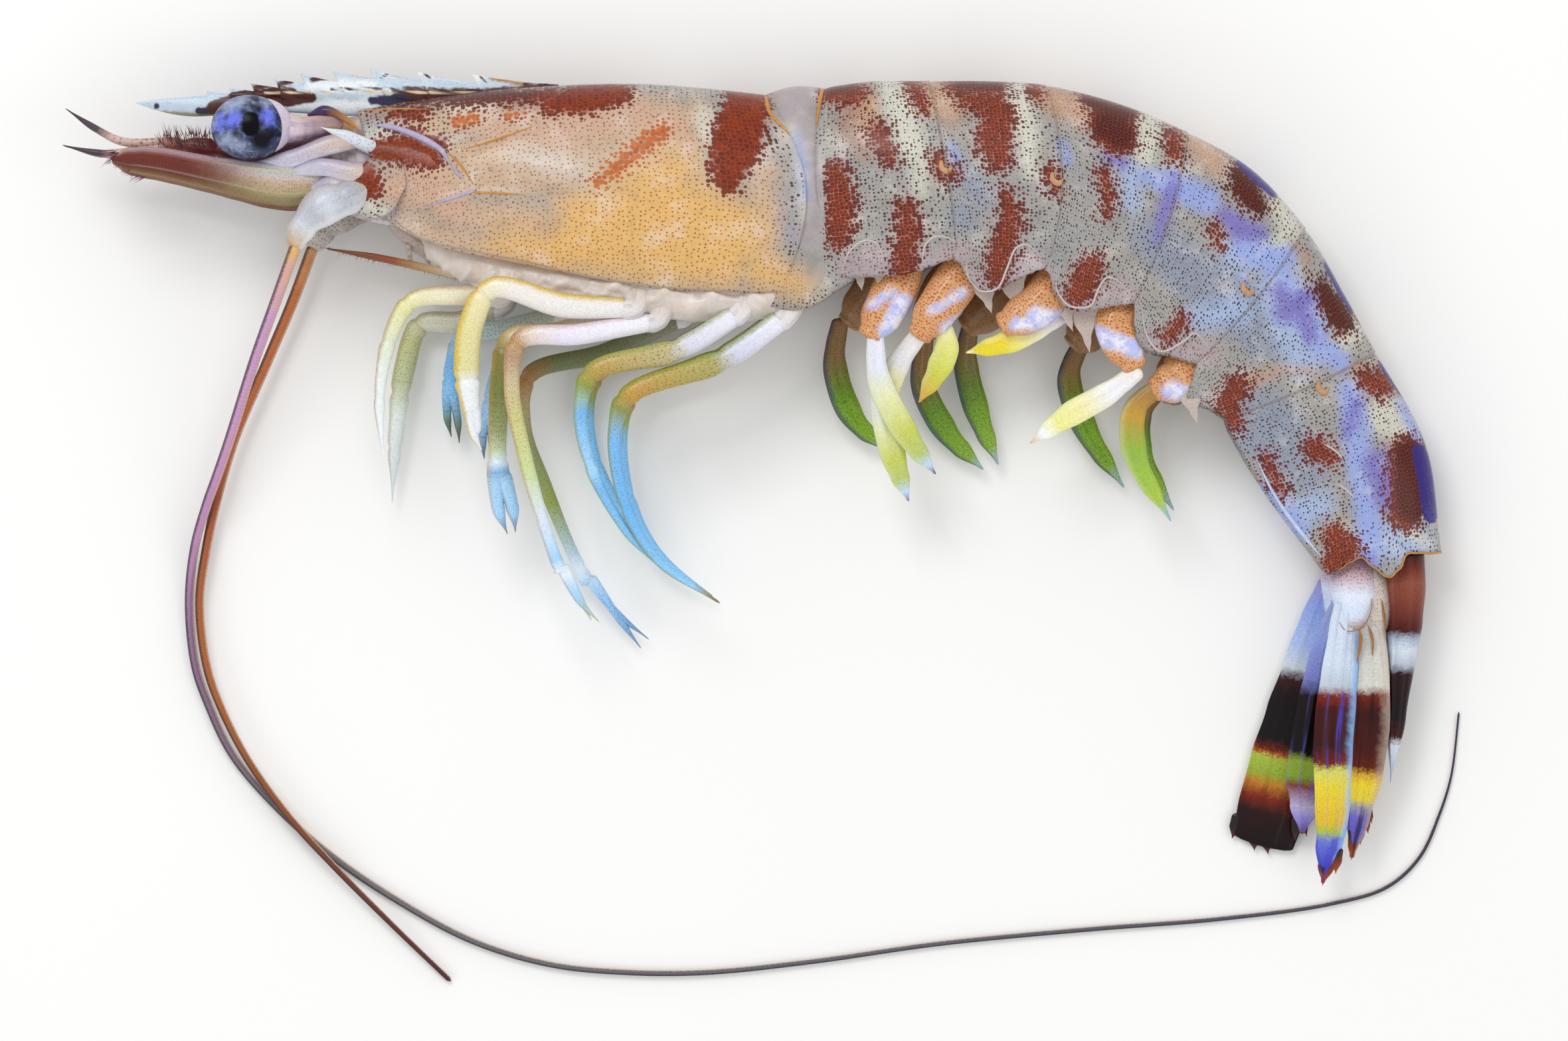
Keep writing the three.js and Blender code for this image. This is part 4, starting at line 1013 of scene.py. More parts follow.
def rostrum_finish():
    """Pale blue horn, with dark, amber and gold patches."""
    f = Finish("rostrum")
    grain = f.noise(0.9, 3)
    fine = f.noise(5.0)
    tone = f.mix(f.noise(0.5), "ccd9e2", "a9c0d4")
    tone = f.mix(f.field("bright", grain, 1.0, -0.6, 0.4), tone, "e3e9ec")
    tone = f.mix(f.field("olive", fine, 0.4, -0.2, 0.2), tone, "8f8a5c")
    tone = f.mix(f.step(f.noise(5.2, 1), 0.6, 0.72, 0.45), tone, "6c7488")
    tone = f.mix(f.field("amber", fine, 0.5, -0.2, 0.2), tone, "a87c3c")
    band = f.mix(f.step(f.number("navy"), -0.6, 0.6), f.mix(grain, "5a1e18", "2c1012"), "2a2444")
    tone = f.mix(f.field("dark", grain, 0.5, -0.12, 0.12), tone, band)
    tone = f.mix(f.step(f.number("gold"), -0.05, 0.08), tone, "cbb488")
    return f.done(tone, 0.3, fine, 0.03)


def make_rostrum():
    """The saw-toothed blade in front of the head shield, and the spine beside each eye."""
    under = path(
        [(-62.9, 42.45), (-60.7, 41.7), (-57.8, 41.15), (-54.9, 41.2), (-49.9, 41.6), (-40.6, 41.2),
         (-27, 42), (-20.5, 43.2)]
    )
    low_x = [under(i / 200) for i in range(201)]
    rows = 420

    def place(u, row):
        x = ROSTRUM_FROM + (ROSTRUM_TO - ROSTRUM_FROM) * row / rows
        low = float(np.interp(x, [p.x for p in low_x], [p.y for p in low_x]))
        high = max(rostrum_top(x), low + 0.02)
        angle = 2 * math.pi * u
        s, c = math.sin(angle), math.cos(angle)
        y = low + (high - low) * (0.5 + 0.5 * c)
        share = min(max((y - 41.2) / 4, 0), 1)
        thick = (1.5 + (0.4 - 1.5) * share) * min(max((x - ROSTRUM_FROM) / 8, 0.02), 1)
        carina = 1 + 0.9 * math.exp(-(((y - 43.35) / 0.16) ** 2)) * min(max((x + 56) / 6, 0), 1)
        z = middle_at(x) + 0.5 * thick * math.copysign(abs(s) ** 0.55, s) * carina
        lean = 0.75 * max(y - 43.6, 0) * max(0, c) * (1 if x < -22 else 0)
        return x - lean * min(max((x + 56.5) / 1, 0), 1) * 0.8, y, z, row / rows, s

    bm = loft(28, rows, place)
    fields = {
        "dark": [
            [(237, 160, 4)],
            [(322, 162, 9), (352, 158, 14), (372, 156, 10)],
            [(300, 168, 5), (330, 168, 5)],
            [(352, 146, 7), (400, 142, 8), (440, 140, 8)],
            [(372, 150, 12), (420, 150, 14), (470, 148, 8)],
            [(560, 152, 6), (600, 153, 9), (655, 152, 9)],
            [(500, 135, 2), (560, 134, 2), (640, 134, 3), (724, 136, 3), (840, 131, 5)],
            [(372, 136, 4), (400, 130, 4), (440, 124, 4)],
            [(470, 121, 4), (500, 117, 3)], [(545, 113, 2), (556, 108, 2)], [(614, 112, 3), (622, 106, 2)],
            [(574, 118, 2), (584, 112, 2)], [(640, 112, 2), (648, 118, 2)], [(724, 116, 2), (732, 124, 2)],
            [(790, 128, 3), (830, 130, 3)],
            [(600, 146, 9), (700, 146, 9), (900, 140, 8)]
        ],
        "bright": [
            [(440, 160, 5), (560, 158, 6)], [(470, 130, 6), (560, 128, 6)],
            [(580, 108, 5), (645, 110, 5), (725, 116, 6)]
        ],
        "olive": [[(250, 170, 2), (325, 176, 3), (400, 168, 2)]],
        "navy": [[(237, 160, 6)], [(560, 152, 12), (600, 153, 14)], [(300, 168, 12)]],
        "amber": [
            [(530, 111, 3), (560, 115, 3)], [(592, 112, 3), (635, 118, 3)], [(655, 112, 3), (715, 121, 3)],
            [(480, 117, 2), (505, 119, 2)], [(380, 131, 3), (405, 128, 2)], [(740, 118, 3), (800, 130, 3)]
        ],
        "gold": [[(400, 141, 2.2), (560, 139, 2.6), (724, 141, 2.6), (860, 134, 2.0)]]
    }
    finish_piece("rostrum", bm, rostrum_finish(), ["carapace"], fields)
    spines = [
        limb(
            aside([(-36.4, 36.6, 2.9), (-41.2, 38.8, 3.95), (-44.4, 40, 3.8)], side), [0.9, 0.66, 0.04],
            [0.5, 0.4, 0.04], steps=30
        ) for side in (1, -1)
    ]
    finish_piece(
        "cheek_spines", join(spines), skin_finish("cheek spine", "d5deea", "bcc6cf", "7a4030", 0.4, 0.1),
        ["carapace"]
    )


# ---- Eyes ----
EYE_X, EYE_Y, EYE_OUT, EYE_RADII = -51.3, 39.9, 4.05, (3.85, 3.25, 3.2)


def eye_finish():
    """Dark wet eye, clouded blue, with a pupil."""
    f = Finish("eye")
    wide = f.noise(0.55, 3)
    grain = f.noise(1.6, 3)
    fine = f.noise(6.0, 2)
    tone = f.mix(f.step(wide, 0.35, 0.65), "1c2040", "414a68")
    tone = f.mix(f.step(grain, 0.5, 0.66, 0.7), tone, "6c7680")
    tone = f.mix(f.field("pale", grain, 2.2, -0.7, 1.0, 0.9), tone, "9aa6c4")
    tone = f.mix(f.field("glow", grain, 1.4, -0.5, 0.6, 0.95), tone, f.mix(fine, "5a63d8", "7f8df0"))
    tone = f.mix(f.field("dark", grain, 1.0, -0.3, 0.5), tone, "14121f")
    tone = f.mix(f.field("pupil", fine, 0.3, -0.12, 0.12), tone, "05040a")
    return f.done(tone, 0.3, fine, 0.012, 0.02, 0.1, 0.06)


def ball(radii, centre, around, rows):
    """A round form, squashed to its radii."""
    bm = bmesh.new()
    bmesh.ops.create_uvsphere(bm, u_segments=around, v_segments=rows, radius=1)
    bmesh.ops.scale(bm, vec=radii, verts=bm.verts)
    bmesh.ops.translate(bm, vec=centre, verts=bm.verts)
    return bm


def make_eyes():
    """Each eye, the cup it sits in and its stalk."""
    eye = eye_finish()
    stalk = banded_finish(
        "eye stalk",
        {0: "d6cfd8", 0.3: "c9b6c0", 0.6: "a08a94", 1: "b48c70"},
        None, ("5a3a6a", 0.7), ("c9a888", 0.6), ("7a6a90", 0.4, 1.6)
    )
    fields = {
        "pupil": [[(383, 184, 12), (383, 196, 13)]],
        "glow": [
            [(408, 178, 10), (412, 186, 8)], [(360, 180, 10), (352, 188, 10)],
            [(338, 178, 5), (335, 196, 6)]
        ],
        "pale": [
            [(350, 165, 14), (372, 155, 10)], [(345, 215, 14), (370, 226, 10)], [(328, 190, 8)],
            [(405, 160, 8)]
        ],
        "dark": [[(400, 214, 16), (415, 205, 8)], [(395, 168, 6)], [(360, 205, 5)], [(372, 172, 5)]]
    }
    for name, side in SIDES:
        z = middle_at(EYE_X) + side * EYE_OUT * SPREAD
        bm = ball(EYE_RADII, (EYE_X, EYE_Y, z), 56, 36)
        finish_piece(f"eye_{name}", bm, eye, [f"eye_{name}"], fields)
        route = aside([(-48.0, 39.9, 3.6), (-46.4, 39.8, 3.5), (-44.8, 40.0, 3.1), (-42, 40.4, 2.4)], side)
        wide, thick = [1.7, 1.3, 1.1, 1.0], [1.6, 1.3, 1.0, 0.7]
        rear = limb(route, wide, thick, sides=28, steps=40, pinch=[(0.45, 0.12, 0.06)])
        cup = ball((3.2, 2.85, 2.35), (EYE_X + 1.15, EYE_Y + 0.1, z - side * 0.1), 48, 32)
        finish_piece(f"eye_cup_{name}", cup, EYE_RIM, [f"eye_{name}"])
        finish_piece(f"eye_stalk_{name}", rear, stalk, [f"eye_{name}"])


# ---- Head ----
def make_head_core():
    """The front of the head, between the eyes."""
    back = path([(-45, 39), (-41.6, 41), (-36, 41.4)])
    belly = path([(-43.2, 32), (-39.4, 30.6), (-35, 29.8)])
    bm = shell(back, belly, graded([2.2, 3.5, 4.2]), lambda t: middle_at(back(t).x), 30, around=72)
    f = Finish("head core")
    grain = f.noise(0.8, 3)
    tone = f.mix(f.step(grain, 0.42, 0.66), "d3ccd0", "a58f92")
    tone = f.mix(f.step(f.number("dark"), -0.4, 0.5), tone, "2a1830")
    tone = f.mix(f.step(f.number("amber"), -0.4, 0.5), tone, "b98a4c")
    material = f.done(tone, 0.32, grain, 0.1, 0.2)
    fields = {"dark": [[(478, 170, 7), (505, 168, 7)]], "amber": [[(508, 180, 8), (530, 190, 10)]]}
    finish_piece("head_core", bm, material, ["head_core"], fields)


def scale_finish():
    """Brown stripes along the blade in front, and paler ones behind."""
    f = Finish("antennal scale")
    grain = f.noise(0.8, 3)
    fine = f.noise(5.0)
    across = f.wobble(f.number("across"), grain, 0.16)
    share = f.put("ShaderNodeMapRange", {"Value": across, "From Min": 1.0, "From Max": -1.0}).outputs[0]
    front = f.ramp(
        share,
        {0.0: "6a4a3a", 0.1: "8c6a50", 0.22: "6c4a2c", 0.36: "5c1e0e", 0.68: "66200f", 0.8: "8a5a58",
         0.9: "a58a90", 1.0: "8c747a"}
    )
    rear = f.ramp(
        share,
        {0.0: "6a2814", 0.08: "7c6a48", 0.36: "a0966c", 0.5: "b8a084", 0.62: "c8b4a8", 0.74: "bcc2ca",
         0.8: "c8bc8a", 0.88: "c0c4cc", 1.0: "a09aa8"}
    )
    tone = f.mix(f.step(f.wobble(f.number("along"), grain, 0.12), 0.36, 0.74), front, rear)
    tone = f.mix(f.spots(0.4, 3.4, 0.2), tone, "5c4030")
    return f.done(tone, 0.34, f.sum("MULTIPLY_ADD", fine, 0.4, grain), 0.04, 0.12)


BASE_ROUTES = {
    1: [(-38.6, 34.4, 4.4), (-41.6, 32.8, 4.8), (-44, 31.9, 5), (-45.9, 30, 4.9), (-46.9, 27.8, 4.7)],
    -1: [(-39, 33.6, 3.8), (-40.8, 32.2, 4.4), (-42.8, 31.4, 4.6), (-44.4, 29.8, 4.6), (-45.4, 27.8, 4.6)]
}


def make_cheeks():
    """Each side: the long flat scale, the long feeler's base with its plate, cheek folds and brow."""
    scale = scale_finish()
    white = banded_finish(
        "antenna base",
        {0: "a89a90", 0.25: "a9aeb8", 0.45: "c6ccd6", 0.6: "b0b4bc", 0.75: "c4c8d0", 0.87: "c4b8a8",
         1: "c08840"},
        # The near base's white lengthwise streaks (f4f6f8) are painted highlights.
        ("a8683c", 0.35, 2.4, 0.14), ("b0a098", 0.4), ("f2f4f6", 0.6), ("f4f6f8", 0.6, 1.6), 0.12
    )
    dusky = banded_finish(
        "far antenna base", {0: "b08a5a", 0.4: "b4b0a8", 1: "c4bcb4"}, ("4a3040", 0.6, 2.2, 0.22)
    )
    for name, side in SIDES:
        route = aside(
            [(-65.1, 36.7, 3.1), (-61, 36.4, 3.3), (-54, 35, 3.6), (-48, 34, 3.7), (-42, 34.3, 3.4)], side
        )
        wide = [0.5, 1.35, 1.55, 1.65, 1.75, 1.95, 2.15, 2.25, 1.9, 0.9]
        thick = [0.08, 0.2, 0.3, 0.36, 0.42, 0.46, 0.5, 0.5, 0.5, 0.4]
        ribs = [(-0.62, 0.9, 0.1), (0.35, 0.5, 0.08), (0.85, 0.6, 0.08)]
        blade = limb(route, wide, thick, sides=48, steps=110, ribs=ribs, square=0.8)
        finish_piece(f"antennal_scale_{name}", blade, scale, [f"antennal_scale_{name}"])
        wide, thick = [1.0, 1.8, 2.0, 1.5, 0.95], [0.9, 1.3, 1.5, 1.2, 0.8]
        pinch = [(0.3, 0.06, 0.05), (0.7, 0.08, 0.06), (0.9, 0.1, 0.03)]
        stem = limb(aside(BASE_ROUTES[side], side), wide, thick, sides=28, steps=70, pinch=pinch)
        finish_piece(
            f"antenna_base_{name}", stem, white if side > 0 else dusky, [f"antenna_base_{name}"],
        )

        route = aside([(-36.6, 37.0, 4.7), (-38.4, 34, 5.25), (-39.9, 30.9, 4.8)], side)
        plate = limb(route, [1.2, 2.4, 2.5, 1.4], [0.2, 0.3, 0.3, 0.2], sides=28, steps=50, grain=2.0)
        finish_piece(f"antenna_plate_{name}", plate, SHELL, [f"antenna_base_{name}"], PATCHES)

        folds = [
            limb(
                aside([(-51, 36.2, 3.2), (-47, 36.8, 3.8), (-43, 38.2, 3.9), (-40, 38.4, 3.4)], side),
                [0.3, 0.9, 1.0, 0.5], [0.3, 0.5, 0.6, 0.3]
            ),
            limb(
                aside([(-48, 35.2, 3.6), (-44, 35.9, 4.4), (-40.5, 35.3, 4.8), (-38, 35.9, 4.4)], side),
                [0.3, 0.9, 1.1, 0.5], [0.3, 0.6, 0.7, 0.3]
            ),
            limb(
                aside([(-45.8, 33.6, 3.4), (-43, 34, 4.4), (-40, 33.2, 4.6)], side), [0.3, 1.1, 0.6],
                [0.3, 0.7, 0.4]
            )
        ]
        finish_piece(f"cheek_folds_{name}", join(folds), FOLD, [f"antenna_base_{name}"])
        brow = limb(
            aside([(-45.6, 41.2, 2.6), (-43.2, 41.5, 3.1), (-40.2, 39.6, 3.3)], side),
            [0.15, 0.6, 0.35, 0.1], [0.2, 0.45, 0.3, 0.1]
        )
        finish_piece(f"brow_{name}", brow, BROW, ["head_core"])


def make_antennules():
    """Each side: a stem and two short tapering feelers."""
    spotted = banded_finish(
        "antennule",
        {0: "8a6a70", 0.25: "6a2c30", 0.45: "5a1c20", 0.56: "8a5448", 0.64: "c8a89c", 0.78: "cdb0a8",
         0.86: "4a3c48", 1: "14121a"},
        ("5a2a20", 0.6, 2.2, 0.24)
    )
    for name, side in SIDES:
        route = aside([(-43.5, 38.2, 0.95), (-50, 37.3, 0.95), (-55.5, 37.9, 0.95), (-60.4, 38.4, 1)], side)
        pinch = [(0.62, 0.3, 0.03), (0.84, 0.3, 0.03)]
        parts = [
            limb(route, [1.2, 1.1, 1, 0.7], [0.75, 0.75, 0.7, 0.6], steps=60, pinch=pinch, span=(0, 0.6))
        ]
        for tip in (
            [(-59.6, 38.5, 1), (-64.2, 38.6, 1.1), (-66.9, 39.9, 1.1), (-69.9, 41.9, 1.1)],
            [(-59.6, 38.1, 1), (-63.7, 37.5, 1.3), (-66.4, 37.4, 1.4), (-70.2, 38.2, 1.4)]
        ):
            parts.append(limb(aside(tip, side), [0.5, 0.42, 0.36, 0.05], sides=12, steps=50, span=(0.6, 1)))
        finish_piece(f"antennule_{name}", join(parts), spotted, [f"antennule_{name}"])


def make_mouth():
    """The chewing parts with their two thorns, and the thin rod each side."""
    mouth = limb(
        aside([(-37.4, 30.6, 0), (-34.4, 28.4, 0), (-30.6, 26, 0)]), [0.8, 1.1, 0.8], [2.6, 2.8, 2.4],
        sides=28, steps=40
    )
    thorns = [
        limb(
            aside([(x, y + 1, 1.6), ((x + a) / 2, (y + b) / 2, 1.6), (a, b, 1.6)]), [0.35, 0.25, 0.04],
            sides=10, steps=20
        ) for x,
        y, a, b in ((-35.6, 27.5, -35, 25.7), (-33.9, 27, -33.3, 26.2))
    ]
    finish_piece(
        "mouthparts", join([mouth, *thorns]), skin_finish("mouthparts", "b9a99c", "8a7468", "4a3a38", 0.4),
        ["mouthparts"]
    )
    brown = banded_finish("palp", {0: "c8b8a0", 0.3: "a88a5c", 0.55: "8a4a28", 1: "5a2a1c"}, None)
    for name, side in SIDES:
        rod = limb(
            aside([(-30.5, 25.1, 2.2), (-34.6, 26.1, 2.4), (-38.3, 26.9, 2.5), (-43.9, 27.9, 2.5)], side),
            [0.42, 0.38, 0.34, 0.05], sides=14, steps=50
        )
        finish_piece(f"palp_{name}", rod, brown, [f"palp_{name}"])


# ---- Long feelers ----
def make_feelers():
    """The long left feeler and the short, broken right one, finely ringed."""
    routes = {
        "left": (
            [(-46.6, 28.2, 14), (-48.7, 22.6, 12), (-51, 16.5, 9.4), (-53.6, 8.7, 6.4), (-54.9, 5.1, 4.9),
             (-56, 2.2, 3.6), (-57.3, -2.2, 2), (-57.9, -7.7, 0.75), (-57.3, -14, 0.58),
             (-56, -17.9, 0.56), (-53.5, -23.1, 0.54), (-48.7, -28.7, 0.52), (-43.6, -33.2, 0.5),
             (-37.3, -37.5, 0.48), (-29.4, -41.8, 0.45), (-21.5, -44.2, 0.43), (-13.7, -45, 0.4),
             (-5.8, -45, 0.38), (5, -43.9, 0.35), (17.8, -42.1, 0.33), (33.5, -40.6, 0.3),
             (46.1, -39.6, 0.28), (57.2, -38.1, 0.26), (62.9, -36.4, 0.24), (66.2, -33.4, 0.22),
             (68.2, -29.1, 0.2), (69.4, -25.2, 0.18), (70.2, -18.7, 0.15)],
            [0.6, 0.52, 0.44, 0.37, 0.3, 0.25, 0.2, 0.11],
            {0: "e0b070", 0.04: "c79ac0", 0.2: "b98ab4", 0.3: "8c6f8c", 0.42: "6f6c6e", 0.7: "5a5a62",
             0.88: "3a3a50", 1: "23234a"}
        ),
        "right": (
            [(-45.3, 28.2, 3.3), (-47.4, 22.6, 2.8), (-50, 16.5, 2.5), (-53.3, 8.7, 2.2), (-55.1, 2.5, 2),
             (-56.1, -2.2, 1.9), (-56.8, -7.7, 1.8), (-56.1, -14, 1.75), (-54.8, -17.9, 1.7),
             (-52.2, -23.1, 1.7), (-48.1, -28.9, 1.7), (-43.6, -33.9, 1.65), (-37.5, -40.1, 0.9),
             (-31.5, -45.9, 0.32)],
            [0.6, 0.52, 0.45, 0.38, 0.26],
            {0: "d8a068", 0.06: "b86a3a", 0.3: "9c5434", 0.6: "a2602c", 0.85: "6a3a28", 1: "4a2a22"}
        )
    }
    for name, (points, radius, stops) in routes.items():
        steps, turns = (620, 3600) if name == "left" else (340, 1800)
        tube = limb(points, radius, sides=14, steps=steps)
        f = Finish(f"feeler {name}")
        fine = f.noise(4.0)
        along = f.number("along")
        tone = f.ramp(f.wobble(along, f.noise(0.4), 0.06), stops)
        tone = f.mix(f.field("across", fine, 0.5, 0.2, 0.7, 0.8), tone, "2e2224")
        tone = f.mix(f.field("across", fine, 0.5, -0.5, -0.9, 0.7), tone, "d8b49a")
        rings = f.sum("SINE", f.sum("MULTIPLY", along, turns))
        tone = f.mix(f.step(rings, 0.2, 1.0, 0.1), tone, "2a1c20")
        finish_piece(
            f"antenna_{name}", tube, f.done(tone, 0.42, rings, 0.02, 0.05, 0.1), [f"antenna_{name}"],
        )


# ---- Legs ----
FAR_REAR_STOPS = {
    0: "d8d8dc", 0.2: "b8ac70", 0.36: "b08a44", 0.46: "94a858", 0.54: "7cc0f2", 0.93: "8ac8f6", 1: "7a8a78"
}
FAR_REAR_WIDE = [1, 1, 0.9, 0.65, 0.6, 0.5, 0.14]
NEAR_REAR_WIDE = [1.15, 1.25, 1.1, 0.75, 0.65, 0.5, 0.14]
# Route, half widths, tips of the pincer's fingers, colours along it, edge tint and share, joints
LEGS = {
    "maxilliped_left": (
        [(-26.5, 22.9, 3.2), (-30.5, 23.1, 4.2), (-35.1, 22.5, 4.8), (-37.2, 19, 4.8), (-38.3, 13, 4.6),
         (-37.9, 6.3, 4.2)],
        [0.95, 1.05, 0.95, 0.85, 0.6, 0.06], (),
        {0: "e6e0d6", 0.3: "e4dfc0", 0.45: "dcdca0", 0.6: "d6dcc0", 0.75: "dfe8e6", 1: "e8f0f4"},
        ("a4691e", 0.5), (0.42, 0.62, 0.8)
    ),
    "maxilliped_right": (
        [(-26.5, 22, -3.4), (-30.5, 20.6, -4.6), (-34.5, 20.3, -4.8), (-36.1, 16, -4.8), (-37, 9.3, -5),
         (-37.4, 2.3, -5.4)],
        [1, 1.2, 1.1, 1.15, 0.85, 0.06], (),
        {0: "c8c4b4", 0.35: "cfd2bc", 0.5: "b9bd86", 0.65: "b9c49e", 0.75: "dde6e2", 1: "c8d4da"},
        ("8a7a30", 0.4), (0.4, 0.68, 0.84)
    ),
    "leg_1_left": (
        [(-13.4, 21.8, 5.4), (-20, 22.1, 6), (-27, 23.8, 6), (-29, 20.6, 5.4), (-29.6, 15.6, 4.6),
         (-29.1, 11.2, 4.25)],
        [1.1, 1.35, 1.15, 1.35, 1.4, 0.95], ((-28.1, 7.6, 3.9), (-28.9, 8.6, 3.9)),
        {0: "e6e4e4", 0.28: "e6e2da", 0.42: "e4dcae", 0.56: "dfd69a", 0.68: "d8d49c", 0.73: "e6eaec",
         1: "e2e8ee"},
        ("d6b41c", 0.85), (0.4, 0.72)
    ),
    "leg_1_right": (
        [(-20.5, 21.4, -2), (-25.5, 20, -2.2), (-30.2, 19, -2.8), (-31.3, 16.4, -3.4), (-31.6, 13.2, -4)],
        [0.95, 1.05, 0.95, 0.75, 0.8], ((-31.4, 9, -4.8), (-30.6, 8.4, -4.8)),
        {0: "b8c4b0", 0.5: "9ab8c8", 0.62: "6fb4ec", 0.85: "86c4f2", 0.93: "5a7a6a", 1: "3a4a3a"},
        None, (0.5, 0.75)
    ),
    "leg_2_left": (
        [(-14.4, 21.4, 2.6), (-20.4, 19.5, 2.8), (-25.3, 18.7, 2.9), (-26.2, 15, 2.6), (-26.6, 7.9, 1.8),
         (-26.5, 4.6, 1.4)],
        [0.9, 1.1, 1.1, 1.15, 0.95, 1.3], ((-25.6, -0.8, 1), (-24.8, -0.6, 1)),
        {0: "e4dcd0", 0.32: "d8c8a0", 0.42: "8a8444", 0.56: "7c8648", 0.64: "9aa470", 0.7: "c4d0b0",
         0.75: "d8e8f2", 0.81: "7fb0e0", 0.86: "a4d0f2", 0.94: "9fcff4", 1: "50708a"},
        ("c8a040", 0.4), (0.4, 0.745)
    ),
    "leg_2_right": (
        [(-16.6, 21.4, -3.2), (-21.5, 19.8, -4.2), (-25.4, 18, -4.4), (-27, 14.6, -4.7), (-27.8, 10.6, -5)],
        [0.9, 1, 1, 0.8, 0.8], ((-28.1, 6.8, -5.2), (-27.5, 7.2, -5.2)),
        {0: "b0b49a", 0.45: "8ea07a", 0.6: "8cb8d8", 0.85: "9ccaf0", 1: "4a5a50"},
        None, (0.5, 0.75)
    ),
    "leg_3_left": (
        [(-11, 20.5, 4.6), (-18.4, 19.2, 6), (-24.2, 18.6, 5.9), (-25.1, 14.4, 5.3), (-23.8, 7, 4.2),
         (-21.5, -1.1, 3), (-20.2, -4.7, 2.6)],
        [1.05, 1.15, 1.05, 0.85, 0.8, 0.65, 0.75], ((-16.4, -9.6, 1.8), (-17.2, -9.4, 1.8)),
        {0: "efeef4", 0.17: "e4dff0", 0.25: "dccfc4", 0.3: "b8966a", 0.36: "b49878", 0.42: "c8b896",
         0.5: "cac484", 0.6: "c8d698", 0.67: "d4e2ec", 0.72: "c4dcf0", 0.8: "9fd0f6", 0.85: "e4eef6",
         0.9: "a6d4f6", 1: "b8c0a0"},
        ("b06a28", 0.35), (0.31, 0.67, 0.84)
    ),
    "leg_3_right": (
        [(-8.2, 21, -2), (-15.9, 17.5, -2.4), (-23.5, 15.2, -2.8), (-24, 10, -3.4), (-22, 4.2, -4),
         (-19.5, -2, -4.4), (-17.6, -5.9, -4.7)],
        [1, 1, 0.95, 0.75, 0.75, 0.65, 0.75], ((-11.5, -11.4, -5.2), (-12.3, -12.3, -5.2)),
        {0: "8a8a78", 0.12: "74805c", 0.22: "6e7c50", 0.3: "a87848", 0.38: "b8a878", 0.5: "8f9a68",
         0.62: "8ea050", 0.74: "b8cfe0", 0.8: "d8e8f2", 0.88: "8fc4f4", 1: "5a86b0"},
        None, (0.3, 0.8)
    ),
    "leg_4_left": (
        [(-2.6, 21.2, 4.6), (-8.4, 17.7, 5.6), (-16.9, 15.4, 6), (-18.2, 11.9, 5.2), (-17.3, 6.2, 4),
         (-13.8, -0.3, 2.7), (-10.3, -4.1, 1.8)],
        NEAR_REAR_WIDE, (),
        {0: "e6e6f0", 0.14: "d4d4e4", 0.19: "b8b080", 0.32: "b4984c", 0.4: "8c9a48", 0.46: "98bcae",
         0.52: "76baf0", 0.68: "a4d4f8", 0.72: "74bcf2", 0.93: "8ac8f6", 1: "7a8a78"},
        ("8aa23c", 0.6), (0.17, 0.36, 0.66)
    ),
    "leg_4_right": (
        [(-3, 21.4, -3.4), (-8.6, 18.1, -4.4), (-16.4, 15.6, -4.6), (-17.6, 11.9, -4.8), (-16.7, 6.2, -5),
         (-13.1, 0, -5.2), (-10.2, -3.7, -5.4)],
        FAR_REAR_WIDE, (), FAR_REAR_STOPS, ("8aa23c", 0.6), (0.17, 0.36, 0.66)
    ),
    "leg_5_left": (
        [(2, 20.8, 4.2), (-3.9, 16.7, 5), (-13.4, 13.1, 5.6), (-14.8, 9.5, 4.8), (-13.9, 2.6, 3.6),
         (-10.6, -3.3, 2.6), (-4.3, -7.7, 1.6)],
        NEAR_REAR_WIDE, (),
        {0: "e6e6f0", 0.14: "ccd0e4", 0.19: "a8a460", 0.33: "bc9444", 0.4: "8a9454", 0.46: "8ab0b8",
         0.52: "74b8f0", 0.7: "6ab8f2", 0.93: "92cef8", 0.97: "8a9468", 1: "7a6a40"},
        ("86a03a", 0.7), (0.17, 0.36, 0.68)
    ),
    "leg_5_right": (
        [(1.4, 20.9, -2.6), (-4.2, 17.2, -2.8), (-13, 13.3, -3), (-14.2, 9.6, -3.2), (-13.4, 2.8, -3.5),
         (-10.4, -2.9, -3.9), (-5, -7.2, -5)],
        FAR_REAR_WIDE, (), FAR_REAR_STOPS, ("86a03a", 0.6), (0.17, 0.36, 0.66)
    )
}


LEG_WIDTH, LEG_THICKNESS = 0.93, 0.76  # shares of the half widths above, and of the width
FINGERS_FROM = 0.86  # where along a leg's colours its fingers begin


def make_fingers(palm, width, claw):
    """The two fingers of a pincer, rooted in the leg's end."""
    fingers = []
    for k, tip in enumerate(claw):
        offset = (0.42 if k else -0.42) * width
        foot = (palm[0] + offset * 0.5, palm[1] + 0.9, palm[2])
        knuckle = ((palm[0] + tip[0]) / 2 + offset, (palm[1] + tip[1]) / 2, (palm[2] + tip[2]) / 2)
        wide = [width * 0.8, width * 0.55, 0.06]
        route = aside([foot, knuckle, tip])
        fingers.append(limb(route, wide, sides=16, steps=40, span=(FINGERS_FROM - 0.03, 1)))
    return fingers


def make_hip(points, width):
    """The stub that carries a leg into the skin under the head shield."""
    root, after = Vector(points[0]), Vector(points[1])
    away = (root - after).normalized()
    hip = [
        root - away * 1.6, root + away * 0.4, root + Vector((away.x * 0.8, 2.4, 0)),
        root + Vector((0, 5.2, 0))
    ]
    hip[2].z = math.copysign(min(abs(root.z), 3.9), root.z)
    hip[3].x -= 1.5 if root.x > -6 else 0
    hip[3].z = math.copysign(2.2, root.z)
    wide = [w * width for w in (0.75, 1.1, 1.6, 2.2)]
    thick = [w * width for w in (0.6, 0.8, 0.85, 0.8)]
    return limb(aside(hip), wide, thick, sides=24, steps=48, pinch=[(0.3, 0.08, 0.04)])


